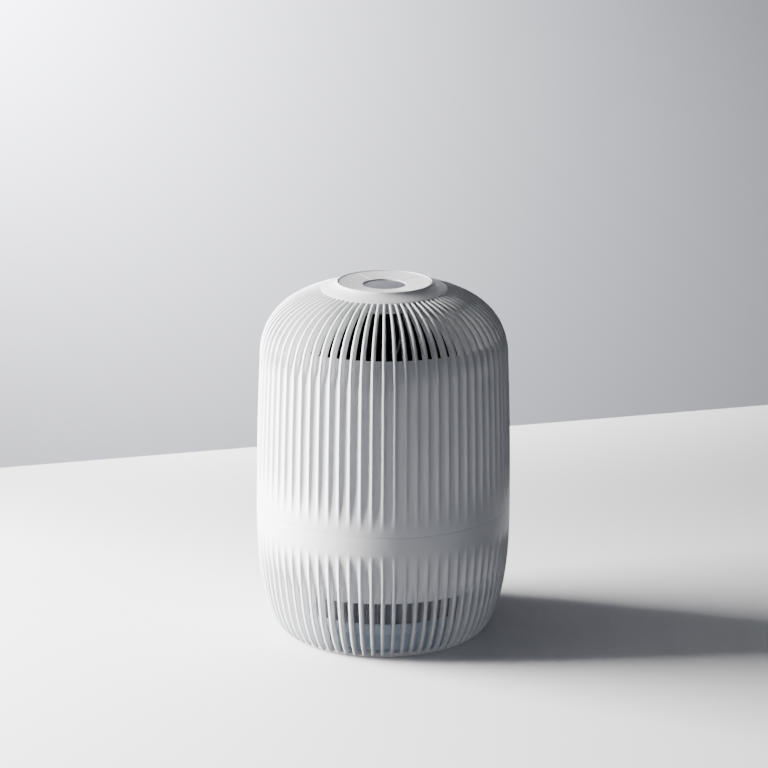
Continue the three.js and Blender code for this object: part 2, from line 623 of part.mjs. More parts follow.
/** Everything that lifts off with the upper housing. */
function housing() {
  const group = new THREE.Group();
  add(group, 'upper_shell', upperShell(), 'shell');
  add(group, 'intake_plate', intakePlate(), 'black');
  add(group, 'finger_guard', fingerGuard(), 'black');
  add(group, 'fan_duct', fanDuct(), 'black');
  add(group, 'motor_mount', motorMount(), 'black');
  add(group, 'motor_stator', stator(), 'lamination');
  [['lower', 192], ['upper', 206]].forEach(([name, z]) => {
    add(group, `bearing_${name}`, ring(SHAFT_BORE, MOTOR_TUBE.bore - GAP, z, z + 4, 12), 'steel');
  });
  const plateScrew = outwards(screw(PLATE_Z[0] - GAP, 1.3, 2.8, 2, 13), BOSS_RING);
  for (let i = 0; i < 4; i += 1) {
    add(group, `plate_screw_${i + 1}`, plateScrew, 'steel', QUARTER * (i + 0.5));
  }
  add(group, 'dc_jack', dcJack(), 'component');
  add(group, 'power_lead', lead([[0, LEAD_Y, 129.3], [0, LEAD_Y, 150], [0, LEAD_Y, 200],
    [0, LEAD_Y, 238], [0, 93.5, 254], [0, 88, 264], [0, 78, 273.5], [0, 66, 281], [0, 54, 286.5],
    [0, 42, 289.5], [0, 32, 291.5], [0, 30, 295.4]], LEAD_RADIUS, 15), 'component');
  add(group, 'motor_lead', lead([[10, 0, 225.1], [10, 0, 240], [15, 0, 260], [12, 0, 280],
    [12, 0, 295.6]], LEAD_RADIUS, 8), 'component');
  group.add(controlPanel(), buttons(), rotor());
  return group;
}

const purifier = new THREE.Group();
purifier.add(base(), lockRing(), filter(), housing());

export default purifier;
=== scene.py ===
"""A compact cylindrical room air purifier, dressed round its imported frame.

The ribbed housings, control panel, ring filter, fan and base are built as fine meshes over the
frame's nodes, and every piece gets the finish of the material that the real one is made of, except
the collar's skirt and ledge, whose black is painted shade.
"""

import logging
import math
from dataclasses import dataclass, field
from enum import Enum

import bpy
import numpy as np
from mathutils import Matrix, Vector


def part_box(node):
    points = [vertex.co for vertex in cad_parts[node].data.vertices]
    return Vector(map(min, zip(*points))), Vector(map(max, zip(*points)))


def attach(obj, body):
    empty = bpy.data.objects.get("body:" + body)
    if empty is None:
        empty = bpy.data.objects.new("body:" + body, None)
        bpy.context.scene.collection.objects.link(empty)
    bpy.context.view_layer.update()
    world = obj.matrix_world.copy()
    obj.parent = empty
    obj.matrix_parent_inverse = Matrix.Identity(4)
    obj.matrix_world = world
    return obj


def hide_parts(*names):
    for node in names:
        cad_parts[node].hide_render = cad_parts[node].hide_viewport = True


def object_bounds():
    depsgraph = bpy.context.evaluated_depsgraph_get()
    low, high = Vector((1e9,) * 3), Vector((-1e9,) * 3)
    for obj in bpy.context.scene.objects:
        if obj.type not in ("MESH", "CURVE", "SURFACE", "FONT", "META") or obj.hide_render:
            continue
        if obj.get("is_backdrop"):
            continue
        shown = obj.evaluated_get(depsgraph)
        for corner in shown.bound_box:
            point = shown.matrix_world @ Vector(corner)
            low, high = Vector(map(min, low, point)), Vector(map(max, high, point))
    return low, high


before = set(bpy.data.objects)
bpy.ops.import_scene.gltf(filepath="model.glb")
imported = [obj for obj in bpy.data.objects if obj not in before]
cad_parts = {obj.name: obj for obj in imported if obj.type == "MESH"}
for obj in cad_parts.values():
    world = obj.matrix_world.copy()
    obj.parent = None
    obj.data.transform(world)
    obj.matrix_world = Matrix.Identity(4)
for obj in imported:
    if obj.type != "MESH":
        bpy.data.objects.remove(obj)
CAD_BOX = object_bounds()

MM = 0.001
TURN = 2 * math.pi
log = logging.getLogger("purifier")

Point = tuple[float, float]


# ---- Finishes -------------------------------------------------------------------------------------


def linear(colour: str) -> tuple[float, float, float, float]:
    """Turns an sRGB hex colour into linear light.

    Args:
        colour: six hex digits, such as "E8E9EB".

    Returns:
        Red, green, blue and an alpha of 1.
    """
    channels = [int(colour[i:i + 2], 16) / 255 for i in (0, 2, 4)]
    low, knee, scale, power = 12.92, 0.04045, 1.055, 2.4
    light = [c / low if c <= knee else ((c + scale - 1) / scale) ** power for c in channels]
    return (light[0], light[1], light[2], 1.0)


def add_node(tree: bpy.types.NodeTree, kind: str, links: dict | None = None,
             **settings: object) -> bpy.types.Node:
    """Adds a shader node, sets it and links its inputs.

    Args:
        tree: the material's node tree.
        kind: the node's Blender type.
        links: output sockets by input name or number.
        settings: input values by name with _ for space, or the node's own properties.

    Returns:
        The new node.
    """
    node = tree.nodes.new(kind)
    for key, value in settings.items():
        if hasattr(node, key):
            setattr(node, key, value)
        else:
            node.inputs[key.replace("_", " ")].default_value = value
    for key, socket in (links or {}).items():
        tree.links.new(socket, node.inputs[key])
    return node


class Grain(Enum):
    """What a surface's fine relief is made of."""

    MOULDED = "moulded"      # spark-eroded mould texture
    SMOOTH = "smooth"        # polished mould, slight waviness
    FIBRE = "fibre"          # felted fibres
    WOVEN = "woven"          # crossed threads
    CELLS = "cells"          # open or closed foam cells
    BRUSHED = "brushed"      # fine scratches all one way


@dataclass(frozen=True)
class Finish:
    """One material of the purifier and how its surface was made.

    Sizes are millimetres. `tint` is the colour that `shade` mixes in, in soft patches.
    """

    name: str
    colour: str
    roughness: float
    ior: float = 1.5
    metallic: float = 0.0
    grain: Grain = Grain.MOULDED
    grain_mm: float = 0.5
    relief_mm: float = 0.02
    tint: str = ""
    shade: float = 0.0
    patch_mm: float = 30.0
    specular: float = 0.5
    coat: float = 0.0
    sheen: float = 0.0
    glow: float = 0.0

    def relief(self, tree: bpy.types.NodeTree, place: bpy.types.NodeSocket) -> bpy.types.NodeSocket:
        """Makes the height pattern of the grain.

        Args:
            tree: the material's node tree.
            place: object coordinates, in metres.

        Returns:
            A height from 0 to 1.
        """
        per_metre = 1 / (self.grain_mm * MM)
        if self.grain is Grain.WOVEN:
            threads = [add_node(tree, "ShaderNodeTexWave", {"Vector": place}, bands_direction=way,
                                Scale=per_metre / TURN, Distortion=1.0, Detail=1.0)
                       for way in ("X", "Y")]
            return add_node(tree, "ShaderNodeMath", {0: threads[0].outputs["Fac"],
                            1: threads[1].outputs["Fac"]}, operation="MULTIPLY").outputs[0]
        if self.grain is Grain.CELLS:
            return add_node(tree, "ShaderNodeTexVoronoi", {"Vector": place}, Scale=per_metre).outputs[0]
        if self.grain is Grain.BRUSHED:
            stretched = add_node(tree, "ShaderNodeMapping", {"Vector": place}, Scale=(1.0, 1.0, 0.04))
            place = stretched.outputs[0]
        detail = {Grain.FIBRE: 6.0, Grain.SMOOTH: 1.0}.get(self.grain, 3.0)
        return add_node(tree, "ShaderNodeTexNoise", {"Vector": place}, Scale=per_metre,
                        Detail=detail, Roughness=0.6).outputs["Fac"]

    def build(self) -> bpy.types.Material:
        """Makes the material the first time it is asked for.

        Returns:
            The material.
        """
        known = bpy.data.materials.get(self.name)
        if known:
            return known
        material = bpy.data.materials.new(self.name)
        material.use_nodes = True
        tree = material.node_tree
        shader = tree.nodes["Principled BSDF"]
        shader.inputs["Base Color"].default_value = linear(self.colour)
        shader.inputs["Metallic"].default_value = self.metallic
        shader.inputs["Roughness"].default_value = self.roughness
        shader.inputs["Specular IOR Level"].default_value = self.specular
        shader.inputs["Coat Weight"].default_value = self.coat
        shader.inputs["Sheen Weight"].default_value = self.sheen
        shader.inputs["Emission Color"].default_value = linear(self.colour)
        shader.inputs["Emission Strength"].default_value = self.glow
        if not self.metallic:
            shader.inputs["IOR"].default_value = self.ior
        place = add_node(tree, "ShaderNodeTexCoord").outputs["Object"]
        height = self.relief(tree, place)
        bump = add_node(tree, "ShaderNodeBump", {"Height": height}, Strength=1.0,
                        Distance=self.relief_mm * MM)
        tree.links.new(bump.outputs[0], shader.inputs["Normal"])
        rough = add_node(tree, "ShaderNodeMapRange", {"Value": height}, **{
            "To_Min": max(self.roughness - 0.06, 0.02), "To_Max": min(self.roughness + 0.06, 1.0)})
        tree.links.new(rough.outputs[0], shader.inputs["Roughness"])
        if self.tint:
            patches = add_node(tree, "ShaderNodeTexNoise", {"Vector": place},
                               Scale=1 / (self.patch_mm * MM), Detail=4.0)
            share = add_node(tree, "ShaderNodeMapRange", {"Value": patches.outputs["Fac"]},
                             From_Min=0.35, From_Max=0.75, To_Min=0.0, To_Max=self.shade)
            mix = add_node(tree, "ShaderNodeMix", {0: share.outputs[0]}, data_type="RGBA")
            mix.inputs[6].default_value = linear(self.colour)
            mix.inputs[7].default_value = linear(self.tint)
            tree.links.new(mix.outputs[2], shader.inputs["Base Color"])
        return material


# Injection-moulded ABS from a spark-eroded mould: satin, with broad soft highlights and no sparkle.
SHELL_ABS = Finish("moulded_white_abs", "D6D7D9", 0.46, 1.54, grain_mm=0.45, relief_mm=0.012,
                   tint="D0D2D5", shade=0.5, patch_mm=45)
# The same ABS from a finer mould face: slightly smoother to the fingertip, so a crisper sheen.
PANEL_ABS = Finish("moulded_panel_abs", "DADBDD", 0.38, 1.54, grain_mm=0.3, relief_mm=0.006,
                   tint="D4D6D9", shade=0.4, patch_mm=20)
# Smoked polycarbonate, polished mould: reads grey because it mirrors the room.
LENS_PC = Finish("polished_smoked_polycarbonate", "4A4D53", 0.3, 1.585, grain=Grain.SMOOTH, grain_mm=9,
                 relief_mm=0.001, specular=0.08)
# Black polypropylene: inner duct parts, dull so that no light comes back through the slots; the same black
# is also painted shade on the collar's skirt and ledge.
BLACK_PP_AND_PAINTED_SHADE = Finish("black_polypropylene_and_painted_shade", "101112", 0.85, 1.49, grain_mm=0.6, relief_mm=0.02,
                  specular=0.15)
# Blue-grey ABS of the tray, moulded matt.
TRAY_ABS = Finish("moulded_blue_grey_abs", "C2CFDD", 0.55, 1.54, tint="B8C6D5", shade=0.6)
# Light grey ABS of the bottom cover, moulded matt.
COVER_ABS = Finish("moulded_grey_abs", "B4B7BB", 0.58, 1.54, tint="ACAFB4", shade=0.6)
# Cast polyurethane end caps of the filter: soft, pale blue-grey, faintly sheened.
CAP_PU = Finish("cast_polyurethane", "D6E1EB", 0.6, 1.5, grain=Grain.SMOOTH, grain_mm=2.5,
                relief_mm=0.05, tint="CCD8E3", shade=0.7)
# Folded non-woven of the filter, dust-grey: fibres scatter the light, so it looks chalky.
PLEAT_FELT = Finish("pleated_nonwoven_felt", "C8CACE", 0.95, 1.5, grain=Grain.FIBRE, grain_mm=0.5,
                    relief_mm=0.08, tint="B4B6BA", shade=0.8, patch_mm=12, sheen=0.3)
# Reticulated carbon foam: black open cells.
CARBON_FOAM = Finish("carbon_loaded_foam", "1A1A1B", 0.95, 1.5, grain=Grain.CELLS, grain_mm=1.4,
                     relief_mm=0.5)
# Closed-cell EVA gasket.
GASKET_EVA = Finish("eva_gasket_foam", "3C3E41", 0.9, 1.48, grain=Grain.CELLS, grain_mm=0.7,
                    relief_mm=0.12)
# Woven polyester tape of the pull tab.
TAPE_WEAVE = Finish("woven_polyester_tape", "3F586F", 0.85, 1.5, grain=Grain.WOVEN, grain_mm=0.9,
                    relief_mm=0.2, sheen=0.4, tint="36506A", shade=0.7, patch_mm=3)
# Moulded thermoplastic rubber of the feet.
FOOT_RUBBER = Finish("moulded_rubber", "242526", 0.8, 1.52, grain_mm=0.4, relief_mm=0.03)
# Acetal of the slip ring: dense, waxy, self-lubricating.
RING_POM = Finish("moulded_acetal", "DCDEE0", 0.4, 1.48, grain=Grain.SMOOTH, grain_mm=3, relief_mm=0.01)
# Zinc-plated steel of the screws, shaft and bearings.
PLATED_STEEL = Finish("zinc_plated_steel", "B9BBBE", 0.3, metallic=1.0, grain=Grain.BRUSHED,
                      grain_mm=0.15, relief_mm=0.005)
# Electrical steel of stator and rotor can, dull plated.
CORE_STEEL = Finish("electrical_steel", "7C7E82", 0.45, metallic=1.0, grain=Grain.BRUSHED,
                    grain_mm=0.4, relief_mm=0.01)
# Glass-epoxy circuit board under green solder resist.
BOARD_EPOXY = Finish("solder_resist_epoxy", "1F5A3A", 0.35, 1.55, grain=Grain.WOVEN, grain_mm=0.6,
                     relief_mm=0.01)
# Nylon and PVC of the inlet, switches and leads.
BLACK_NYLON = Finish("moulded_black_nylon", "1C1D1F", 0.55, 1.53, grain_mm=0.3, relief_mm=0.01,
                     specular=0.3)
# Pad-printed ink of the button marks, a little darker than the panel.
PRINT_INK = Finish("pad_printed_ink", "B4B8BE", 0.5, 1.5, grain=Grain.SMOOTH, grain_mm=1, relief_mm=0.002)
# The mark of the button that is on, lit from behind through the panel.
LIT_INK = Finish("back_lit_ink", "9DB6E6", 0.5, 1.5, grain=Grain.SMOOTH, grain_mm=1, relief_mm=0.002,
                 glow=0.25)
# Painted board: floor and wall of the studio.
FLOOR_PAINT = Finish("matt_white_paint", "E7E7EA", 0.75, 1.5, grain_mm=1.5, relief_mm=0.02)
WALL_PAINT = Finish("matt_grey_paint", "BEBFC8", 0.9, 1.5, grain_mm=1.5, relief_mm=0.02)


# ---- Mesh tools -----------------------------------------------------------------------------------


@dataclass
class Sketch:
    """Points and faces that grow into one mesh. Lengths are millimetres."""

    points: list[np.ndarray] = field(default_factory=list)
    faces: list[tuple[int, ...]] = field(default_factory=list)
    count: int = 0

    def add(self, points: np.ndarray) -> np.ndarray:
        """Adds points of any array shape.

        Args:
            points: coordinates, with x, y, z as the last axis.

        Returns:
            Their numbers, in the same shape without the last axis.
        """
        flat = np.asarray(points, float).reshape(-1, 3)
        numbers = np.arange(self.count, self.count + len(flat)).reshape(np.shape(points)[:-1])
        self.points.append(flat)
        self.count += len(flat)
        return numbers

    def skin(self, low: np.ndarray, high: np.ndarray) -> None:
        """Fills quads between two rows of points, along their last axis."""
        quads = np.stack([low[..., :-1], low[..., 1:], high[..., 1:], high[..., :-1]], -1)
        self.faces.extend(map(tuple, quads.reshape(-1, 4).tolist()))

    def polygon(self, *rows: np.ndarray) -> None:
        """Fills one many-sided face from each line of the rows, set end to end."""
        self.faces.extend(map(tuple, np.concatenate(rows, -1).tolist()))

    def move(self, matrix: Matrix) -> None:
        """Moves every point by a matrix whose lengths are millimetres."""
        turn, shift = np.array(matrix.to_3x3()), np.array(matrix.translation)
        self.points = [block @ turn.T + shift for block in self.points]

    def join(self, other: "Sketch") -> None:
        """Takes in another sketch.

        Args:
            other: the sketch whose points and faces are copied in.
        """
        self.faces += [tuple(i + self.count for i in face) for face in other.faces]
        self.points += other.points
        self.count += other.count

    def build(self, name: str, finish: Finish, sharp_degrees: float = 40.0) -> bpy.types.Object:
        """Makes the object.

        Args:
            name: the piece's name.
            finish: its material.
            sharp_degrees: edges that turn more than this stay sharp.

        Returns:
            The new object, in metres.
        """
        mesh = bpy.data.meshes.new(name)
        mesh.from_pydata((np.concatenate(self.points) * MM).tolist(), [], self.faces)
        mesh.validate()
        mesh.shade_smooth()
        mesh.set_sharp_from_angle(angle=math.radians(sharp_degrees))
        mesh.materials.append(finish.build())
        piece = bpy.data.objects.new(name, mesh)
        bpy.context.scene.collection.objects.link(piece)
        return piece


def softened(outline: list[Point], radius: float, steps: int = 3) -> list[Point]:
    """Rounds the corners of a closed outline; corners on the axis stay.

    Args:
        outline: corners as (radius, height).
        radius: how far from a corner the rounding starts.
        steps: points added on each rounding.

    Returns:
        The rounded outline.
    """
    rounded: list[Point] = []
    for i, here in enumerate(outline):
        corner = np.array(here)
        if here[0] < 1e-6:
            rounded.append(here)
            continue
        ends = []
        for other in (outline[i - 1], outline[(i + 1) % len(outline)]):
            side = np.array(other) - corner
            length = float(np.hypot(*side))
            ends.append(corner + side / length * min(radius, 0.42 * length))
        for t in np.linspace(0, 1, steps + 1):
            spot = (1 - t) ** 2 * ends[0] + 2 * t * (1 - t) * corner + t * t * ends[1]
            rounded.append((float(spot[0]), float(spot[1])))
    return rounded


def revolve(outline: list[Point], sides: int = 160, radius: float = 0.3) -> Sketch:
    """Turns a closed outline about the body's axis.

    Args:
        outline: corners as (radius, height), counterclockwise, outside going up.
        sides: points round the axis.
        radius: rounding of the corners, or 0 for none.

    Returns:
        The closed mesh.
    """
    section = softened(outline, radius) if radius else outline
    sketch = Sketch()
    angles = np.arange(sides) * TURN / sides
    rings = []
    for r, z in section:
        if r < 1e-6:
            rings.append(np.repeat(sketch.add(np.array([[0.0, 0.0, z]])), sides + 1))
        else:
            ring = sketch.add(np.stack([r * np.cos(angles), r * np.sin(angles), np.full(sides, z)], -1))
            rings.append(np.append(ring, ring[0]))
    for low, high in zip(rings, rings[1:] + rings[:1]):
        for i in range(sides):
            corners = list(dict.fromkeys([low[i], low[i + 1], high[i + 1], high[i]]))
            if len(corners) > 2:
                sketch.faces.append(tuple(int(c) for c in corners))
    return sketch


def slab(outline: list[Point], bottom: float, top: float) -> Sketch:
    """Stands a flat outline up as a closed block.

    Args:
        outline: counterclockwise corners in X and Y.
        bottom: its lower height.
        top: its upper height.

    Returns:
        The closed mesh.
    """
    sketch = Sketch()
    flat = np.array(outline)
    low, high = (sketch.add(np.column_stack([flat, np.full(len(flat), z)])) for z in (bottom, top))
    sketch.skin(np.append(low, low[0]), np.append(high, high[0]))
    sketch.faces += [tuple(int(i) for i in high), tuple(int(i) for i in low[::-1])]
    return sketch


def bevelled(piece: bpy.types.Object, width_mm: float, segments: int = 3) -> bpy.types.Object:
    """Rounds a piece's sharp edges.

    Args:
        piece: a mesh object.
        width_mm: width of the rounding.
        segments: faces across it.

    Returns:
        The same piece.
    """
    bevel = piece.modifiers.new("edges", "BEVEL")
    bevel.width = width_mm * MM
    bevel.segments = segments
    bevel.limit_method = "ANGLE"
    bevel.angle_limit = math.radians(35)
    bevel.harden_normals = False
    return piece


def carved(piece: bpy.types.Object, *cutters: bpy.types.Object) -> bpy.types.Object:
    """Cuts pieces out of another and throws them away.

    Args:
        piece: what is cut.
        cutters: what is taken out of it.

    Returns:
        The same piece with its new mesh.
    """
    for cutter in cutters:
        cut = piece.modifiers.new("cut", "BOOLEAN")
        cut.operation = "DIFFERENCE"
        cut.solver = "EXACT"
        cut.object = cutter
    shape = bpy.data.meshes.new_from_object(piece.evaluated_get(bpy.context.evaluated_depsgraph_get()))
    piece.modifiers.clear()
    piece.data = shape
    for cutter in cutters:
        bpy.data.objects.remove(cutter)
    return piece


def settle(piece: bpy.types.Object, body: str, slot: str, *nodes: str) -> bpy.types.Object:
    """Puts a finished piece on its body in place of its frame nodes.

    Args:
        piece: the finished piece.
        body: the frame body it moves with.
        slot: the name of a material slot; not used.
        nodes: the frame nodes it stands for.

    Returns:
        The same piece.
    """
    if nodes:
        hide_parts(*nodes)
    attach(piece, body)
    log.info("%s: %d faces on %s", piece.name, len(piece.data.polygons), body)
    return piece


def dress(finish: Finish, *nodes: str) -> None:
    """Gives frame nodes whose shape is right their finish.

    Args:
        finish: the material.
        nodes: names of the frame's nodes.
    """
    for name in nodes:
        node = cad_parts[name]
        node.data.materials.clear()
        node.data.materials.append(finish.build())
        log.info("%s keeps its shape, as %s", name, finish.name)


@dataclass(frozen=True)
class Span:
    """Where a frame node lies, in millimetres."""

    radius: float
    bottom: float
    top: float
    low: Vector
    high: Vector

    @classmethod
    def of(cls, node: str) -> "Span":
        """Measures a node."""
        low, high = (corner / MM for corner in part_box(node))
        return cls(max(high.x, -low.x), low.z, high.z, low, high)

    def tube(self, bore: float) -> list[Point]:
        """The section of a ring with this bore that fills the span."""
        return [(bore, self.bottom), (self.radius, self.bottom), (self.radius, self.top), (bore, self.top)]

    def disc(self) -> list[Point]:
        """The section of a disc that fills the span."""
        return self.tube(0.0)


# ---- Ribbed housings ------------------------------------------------------------------------------


@dataclass(frozen=True)
class Outline:
    """The body's profile: superellipse foot, tapering middle and superellipse dome."""

    belly: float = 110.0
    belly_z: float = 103.4
    shoulder: float = 106.7
    shoulder_z: float = 240.4
    foot: float = 82.1
    foot_z: float = 0.8
    foot_power: float = 2.17
    dome_z: float = 307.3
    dome_width_power: float = 2.91
    dome_height_power: float = 2.43

    def radius(self, z: float) -> float:
        """Outer radius at a height.

        Args:
            z: the height.

        Returns:
            The radius of the ribs' crests there.
        """
        if z < self.belly_z:
            cos = max(1 - (z - self.foot_z) / (self.belly_z - self.foot_z), 0) ** (self.foot_power / 2)
            return self.foot + (self.belly - self.foot) * max(1 - cos * cos, 0) ** (1 / self.foot_power)
        if z < self.shoulder_z:
            share = (z - self.belly_z) / (self.shoulder_z - self.belly_z)
            return self.belly + (self.shoulder - self.belly) * share * share
        sin = ((z - self.shoulder_z) / (self.dome_z - self.shoulder_z)) ** (self.dome_height_power / 2)
        return self.shoulder * max(1 - sin * sin, 0) ** (1 / self.dome_width_power)

    def height(self, radius: float) -> float:
        """Height of the dome at a radius.

        Args:
            radius: distance from the body's axis.

        Returns:
            The height of the ribs' crests there.
        """
        cos = (radius / self.shoulder) ** (self.dome_width_power / 2)
        return self.shoulder_z + (self.dome_z - self.shoulder_z) * (1 - cos * cos) ** (
            1 / self.dome_height_power)

    def normal(self, z: float) -> Point:
        """Outward direction at a height.

        Args:
            z: the height.

        Returns:
            Its radial and upward shares.
        """
        step = 0.05
        slope = (self.radius(z + step) - self.radius(z - step)) / (2 * step)
        length = math.hypot(1, slope)
        return (1 / length, -slope / length)


@dataclass
class Level:
    """One level of a ribbed shell, in millimetres.

    Attributes:
        point: radius and height of the rib's crest.
        normal: outward direction there.
        crest: half width of the rib's rounded crest.
        side: half thickness of the rib where its sides are straight.
        groove: depth of the gap's floor.
        depth: full depth of the rib or the wall.
        straight: 0 where the groove is scooped out, 1 where the rib stands straight.
        sink: how far the whole surface is eased inwards.
        open: a slot leads from this level to the next.
    """

    point: Point
    normal: Point
    crest: float = 1.1
    side: float = 1.75
    groove: float = 0.0
    depth: float = 6.0
    straight: float = 0.0
    sink: float = 0.0
    open: bool = False

    def section(self) -> tuple[np.ndarray, np.ndarray]:
        """Half a rib's section, from the crest's edge to the gap's floor.

        Returns:
            Distances from the rib's middle, and depths below its crest.
        """
        scooped = (self.crest * np.array([0.45, 0.9, 1.35, 1.9, 2.6, 3.3]),
                   self.groove * np.array([0.04, 0.17, 0.42, 0.68, 0.87, 0.97]))
        floor = self.groove or (0.7 * self.depth if self.open else 0.0)
        edge = 0.72 * self.side
        upright = (self.side - edge + edge * np.array([0, 0.5, 0.87, 1, 1, 1]),
                   np.array([0, 0.13 * edge, 0.5 * edge, edge, max(0.6 * floor, edge), floor]))
        across, sunk = (a * (1 - self.straight) + b * self.straight for a, b in zip(scooped, upright))
        return across, sunk

    def spots(self, angles: np.ndarray, across: np.ndarray | float,
              sunk: np.ndarray | float) -> np.ndarray:
        """Points on this level.

        Args:
            angles: where they start, in radians.
            across: how far round they are moved from there.
            sunk: how far below the crest they lie.

        Returns:
            Their coordinates.
        """
        radius = self.point[0] - self.normal[0] * (sunk + self.sink)
        height = self.point[1] - self.normal[1] * (sunk + self.sink)
        turned = angles + np.arcsin(across / radius)
        return np.stack([radius * np.cos(turned), radius * np.sin(turned),
                         np.broadcast_to(height, turned.shape)], -1)


@dataclass
class RibbedSkin:
    """A shell of revolution with ribs, grooves and through slots, as one closed mesh."""

    levels: list[Level]
    below: list[Point]
    above: list[Point]
    ribs: int = 72
    sketch: Sketch = field(default_factory=Sketch)

    @property
    def centres(self) -> np.ndarray:
        """Angles of the ribs' middles, one a row."""
        return ((np.arange(self.ribs) + 0.5) * TURN / self.ribs)[:, None]

    def gap(self, level: Level, edge: float, sunk: float, left: np.ndarray,
            right: np.ndarray) -> np.ndarray:
        """Points across each gap, from a rib's last point to the next rib's first.

        Args:
            level: where the gap is.
            edge: distance of the gap's ends from the ribs' middles.
            sunk: depth of the row.
            left: numbers of the points before the gaps.
            right: numbers of the points after the gaps, on the next rib.

        Returns:
            Point numbers, four a gap.
        """
        reach = math.asin(edge / (level.point[0] - level.normal[0] * (sunk + level.sink)))
        angles = self.centres + reach + np.array([1 / 3, 2 / 3]) * (TURN / self.ribs - 2 * reach)
        middle = self.sketch.add(level.spots(angles, 0.0, max(sunk, level.groove)))
        return np.stack([left, middle[:, 0], middle[:, 1], np.roll(right, -1)], -1)

    def ring(self, point: Point) -> tuple[np.ndarray, np.ndarray]:
        """A plain inner ring.

        Args:
            point: its radius and height.

        Returns:
            Numbers of two points a rib, and of the four of each gap.
        """
        level = Level(point, (1.0, 0.0))
        rib = self.sketch.add(level.spots(self.centres, np.array([-1.6, 1.6]), np.zeros(2)))
        return rib, self.gap(level, 1.6, 0.0, rib[:, 1], rib[:, 0])

    def build(self) -> Sketch:
        """Grows the shell from the lowest level to the highest.

        Returns:
            The closed mesh.
        """
        add, skin, levels = self.sketch.add, self.sketch.skin, self.levels
        first = next(i for i, level in enumerate(levels) if level.open)
        last = max(i for i, level in enumerate(levels) if level.open) + 1
        rows, floors, sides, brims = [], [], {}, {}
        for i, level in enumerate(levels):
            across, sunk = level.section()
            wide = np.concatenate([-across[::-1], [0.0], across])
            deep = np.concatenate([sunk[::-1], [0.0], sunk])
            rows.append(add(level.spots(self.centres, wide, deep)))
            edge, floor = float(across[-1]), float(sunk[-1])
            shut = i <= first or i >= last
            floors.append(self.gap(level, edge, floor, rows[i][:, -1], rows[i][:, 0]) if shut else None)
            if first <= i <= last:
                depths = (floor + 0.5 * (level.depth - floor), level.depth)
                sides[i] = np.stack([add(level.spots(self.centres, np.array([-edge, edge]), np.full(2, d)))
                                     for d in depths], 2)
            if i in (first, last):
                chain = [floors[i]] + [self.gap(level, edge, depths[k], sides[i][:, 1, k],
                                                sides[i][:, 0, k]) for k in (0, 1)]
                for low, high in zip(chain, chain[1:]):
                    skin(*((low, high) if i == first else (high, low)))
                brims[i] = (sides[i][:, :, 1], chain[-1])
        for i in range(len(levels) - 1):
            skin(rows[i], rows[i + 1])
            if not levels[i].open:
                skin(floors[i], floors[i + 1])
                continue
            right = [np.concatenate([rows[k][:, -1:], sides[k][:, 1]], 1) for k in (i, i + 1)]
            left = [np.concatenate([rows[k][:, :1], sides[k][:, 0]], 1) for k in (i + 1, i)]
            skin(*right)
            skin(*left)
            skin(sides[i + 1][:, :, 1], sides[i][:, :, 1])
        self.close(rows[-1], floors[-1], self.above, brims[last], False)
        self.close(rows[0], floors[0], self.below, brims[first], True)
        return self.sketch

    def close(self, rib: np.ndarray, gap: np.ndarray, points: list[Point],
              brim: tuple[np.ndarray, np.ndarray], flip: bool) -> None:
        """Closes one end with a rim, and lines the inside from there to the slots.

        Args:
            rib: the outer row's points on the ribs.
            gap: the outer row's points in the gaps.
            points: inner rings, from the end to the slots.
            brim: rib and gap points on the inside where the slots end.
            flip: the lower end, whose faces turn the other way.
        """
        chain = [self.ring(point) for point in points] + [brim]
        for outer, inner in ((rib, chain[0][0]), (gap, chain[0][1])):
            rim = np.concatenate([outer, inner[:, ::-1]], 1)
            self.sketch.polygon(rim[:, ::-1] if flip else rim)
        for here, following in zip(chain, chain[1:]):
            for low, high in zip(here, following):
                self.sketch.skin(*((high, low) if flip else (low, high)))


@dataclass(frozen=True)
class Station:
    """What the ribs are like at one height; levels between stations are blended."""

    z: float
    width: float
    groove: float
    depth: float
    straight: float


@dataclass
class Housing:
    """What the two ribbed housings share: the outline and the way their ribs change.

    Sizes are millimetres.
    """

    outline: Outline = field(default_factory=Outline)
    rim_bore: float = 104.0
    crest: float = 1.05

    def level(self, z: float, stations: list[Station], sink: float = 0.0, opened: bool = False,
              upright: float = 0.0) -> Level:
        """Makes the level at a height.

        Args:
            z: its height.
            stations: the ribs' sizes, from the bottom up.
            sink: how far the surface is eased in.
            opened: whether a slot leads on from it.
            upright: how far the normal is turned straight up.

        Returns:
            The level.
        """
        heights = [station.z for station in stations]
        width, groove, depth, straight = (
            float(np.interp(z, heights, [getattr(station, key) for station in stations]))
            for key in ("width", "groove", "depth", "straight"))
        radius = self.outline.radius(z)
        normal = np.array(self.outline.normal(z)) * (1 - upright) + np.array([0.0, 1.0]) * upright
        normal = normal / np.hypot(*normal)
        return Level((radius, z), (float(normal[0]), float(normal[1])), self.crest, width / 2,
                     groove, depth, straight, sink, opened)


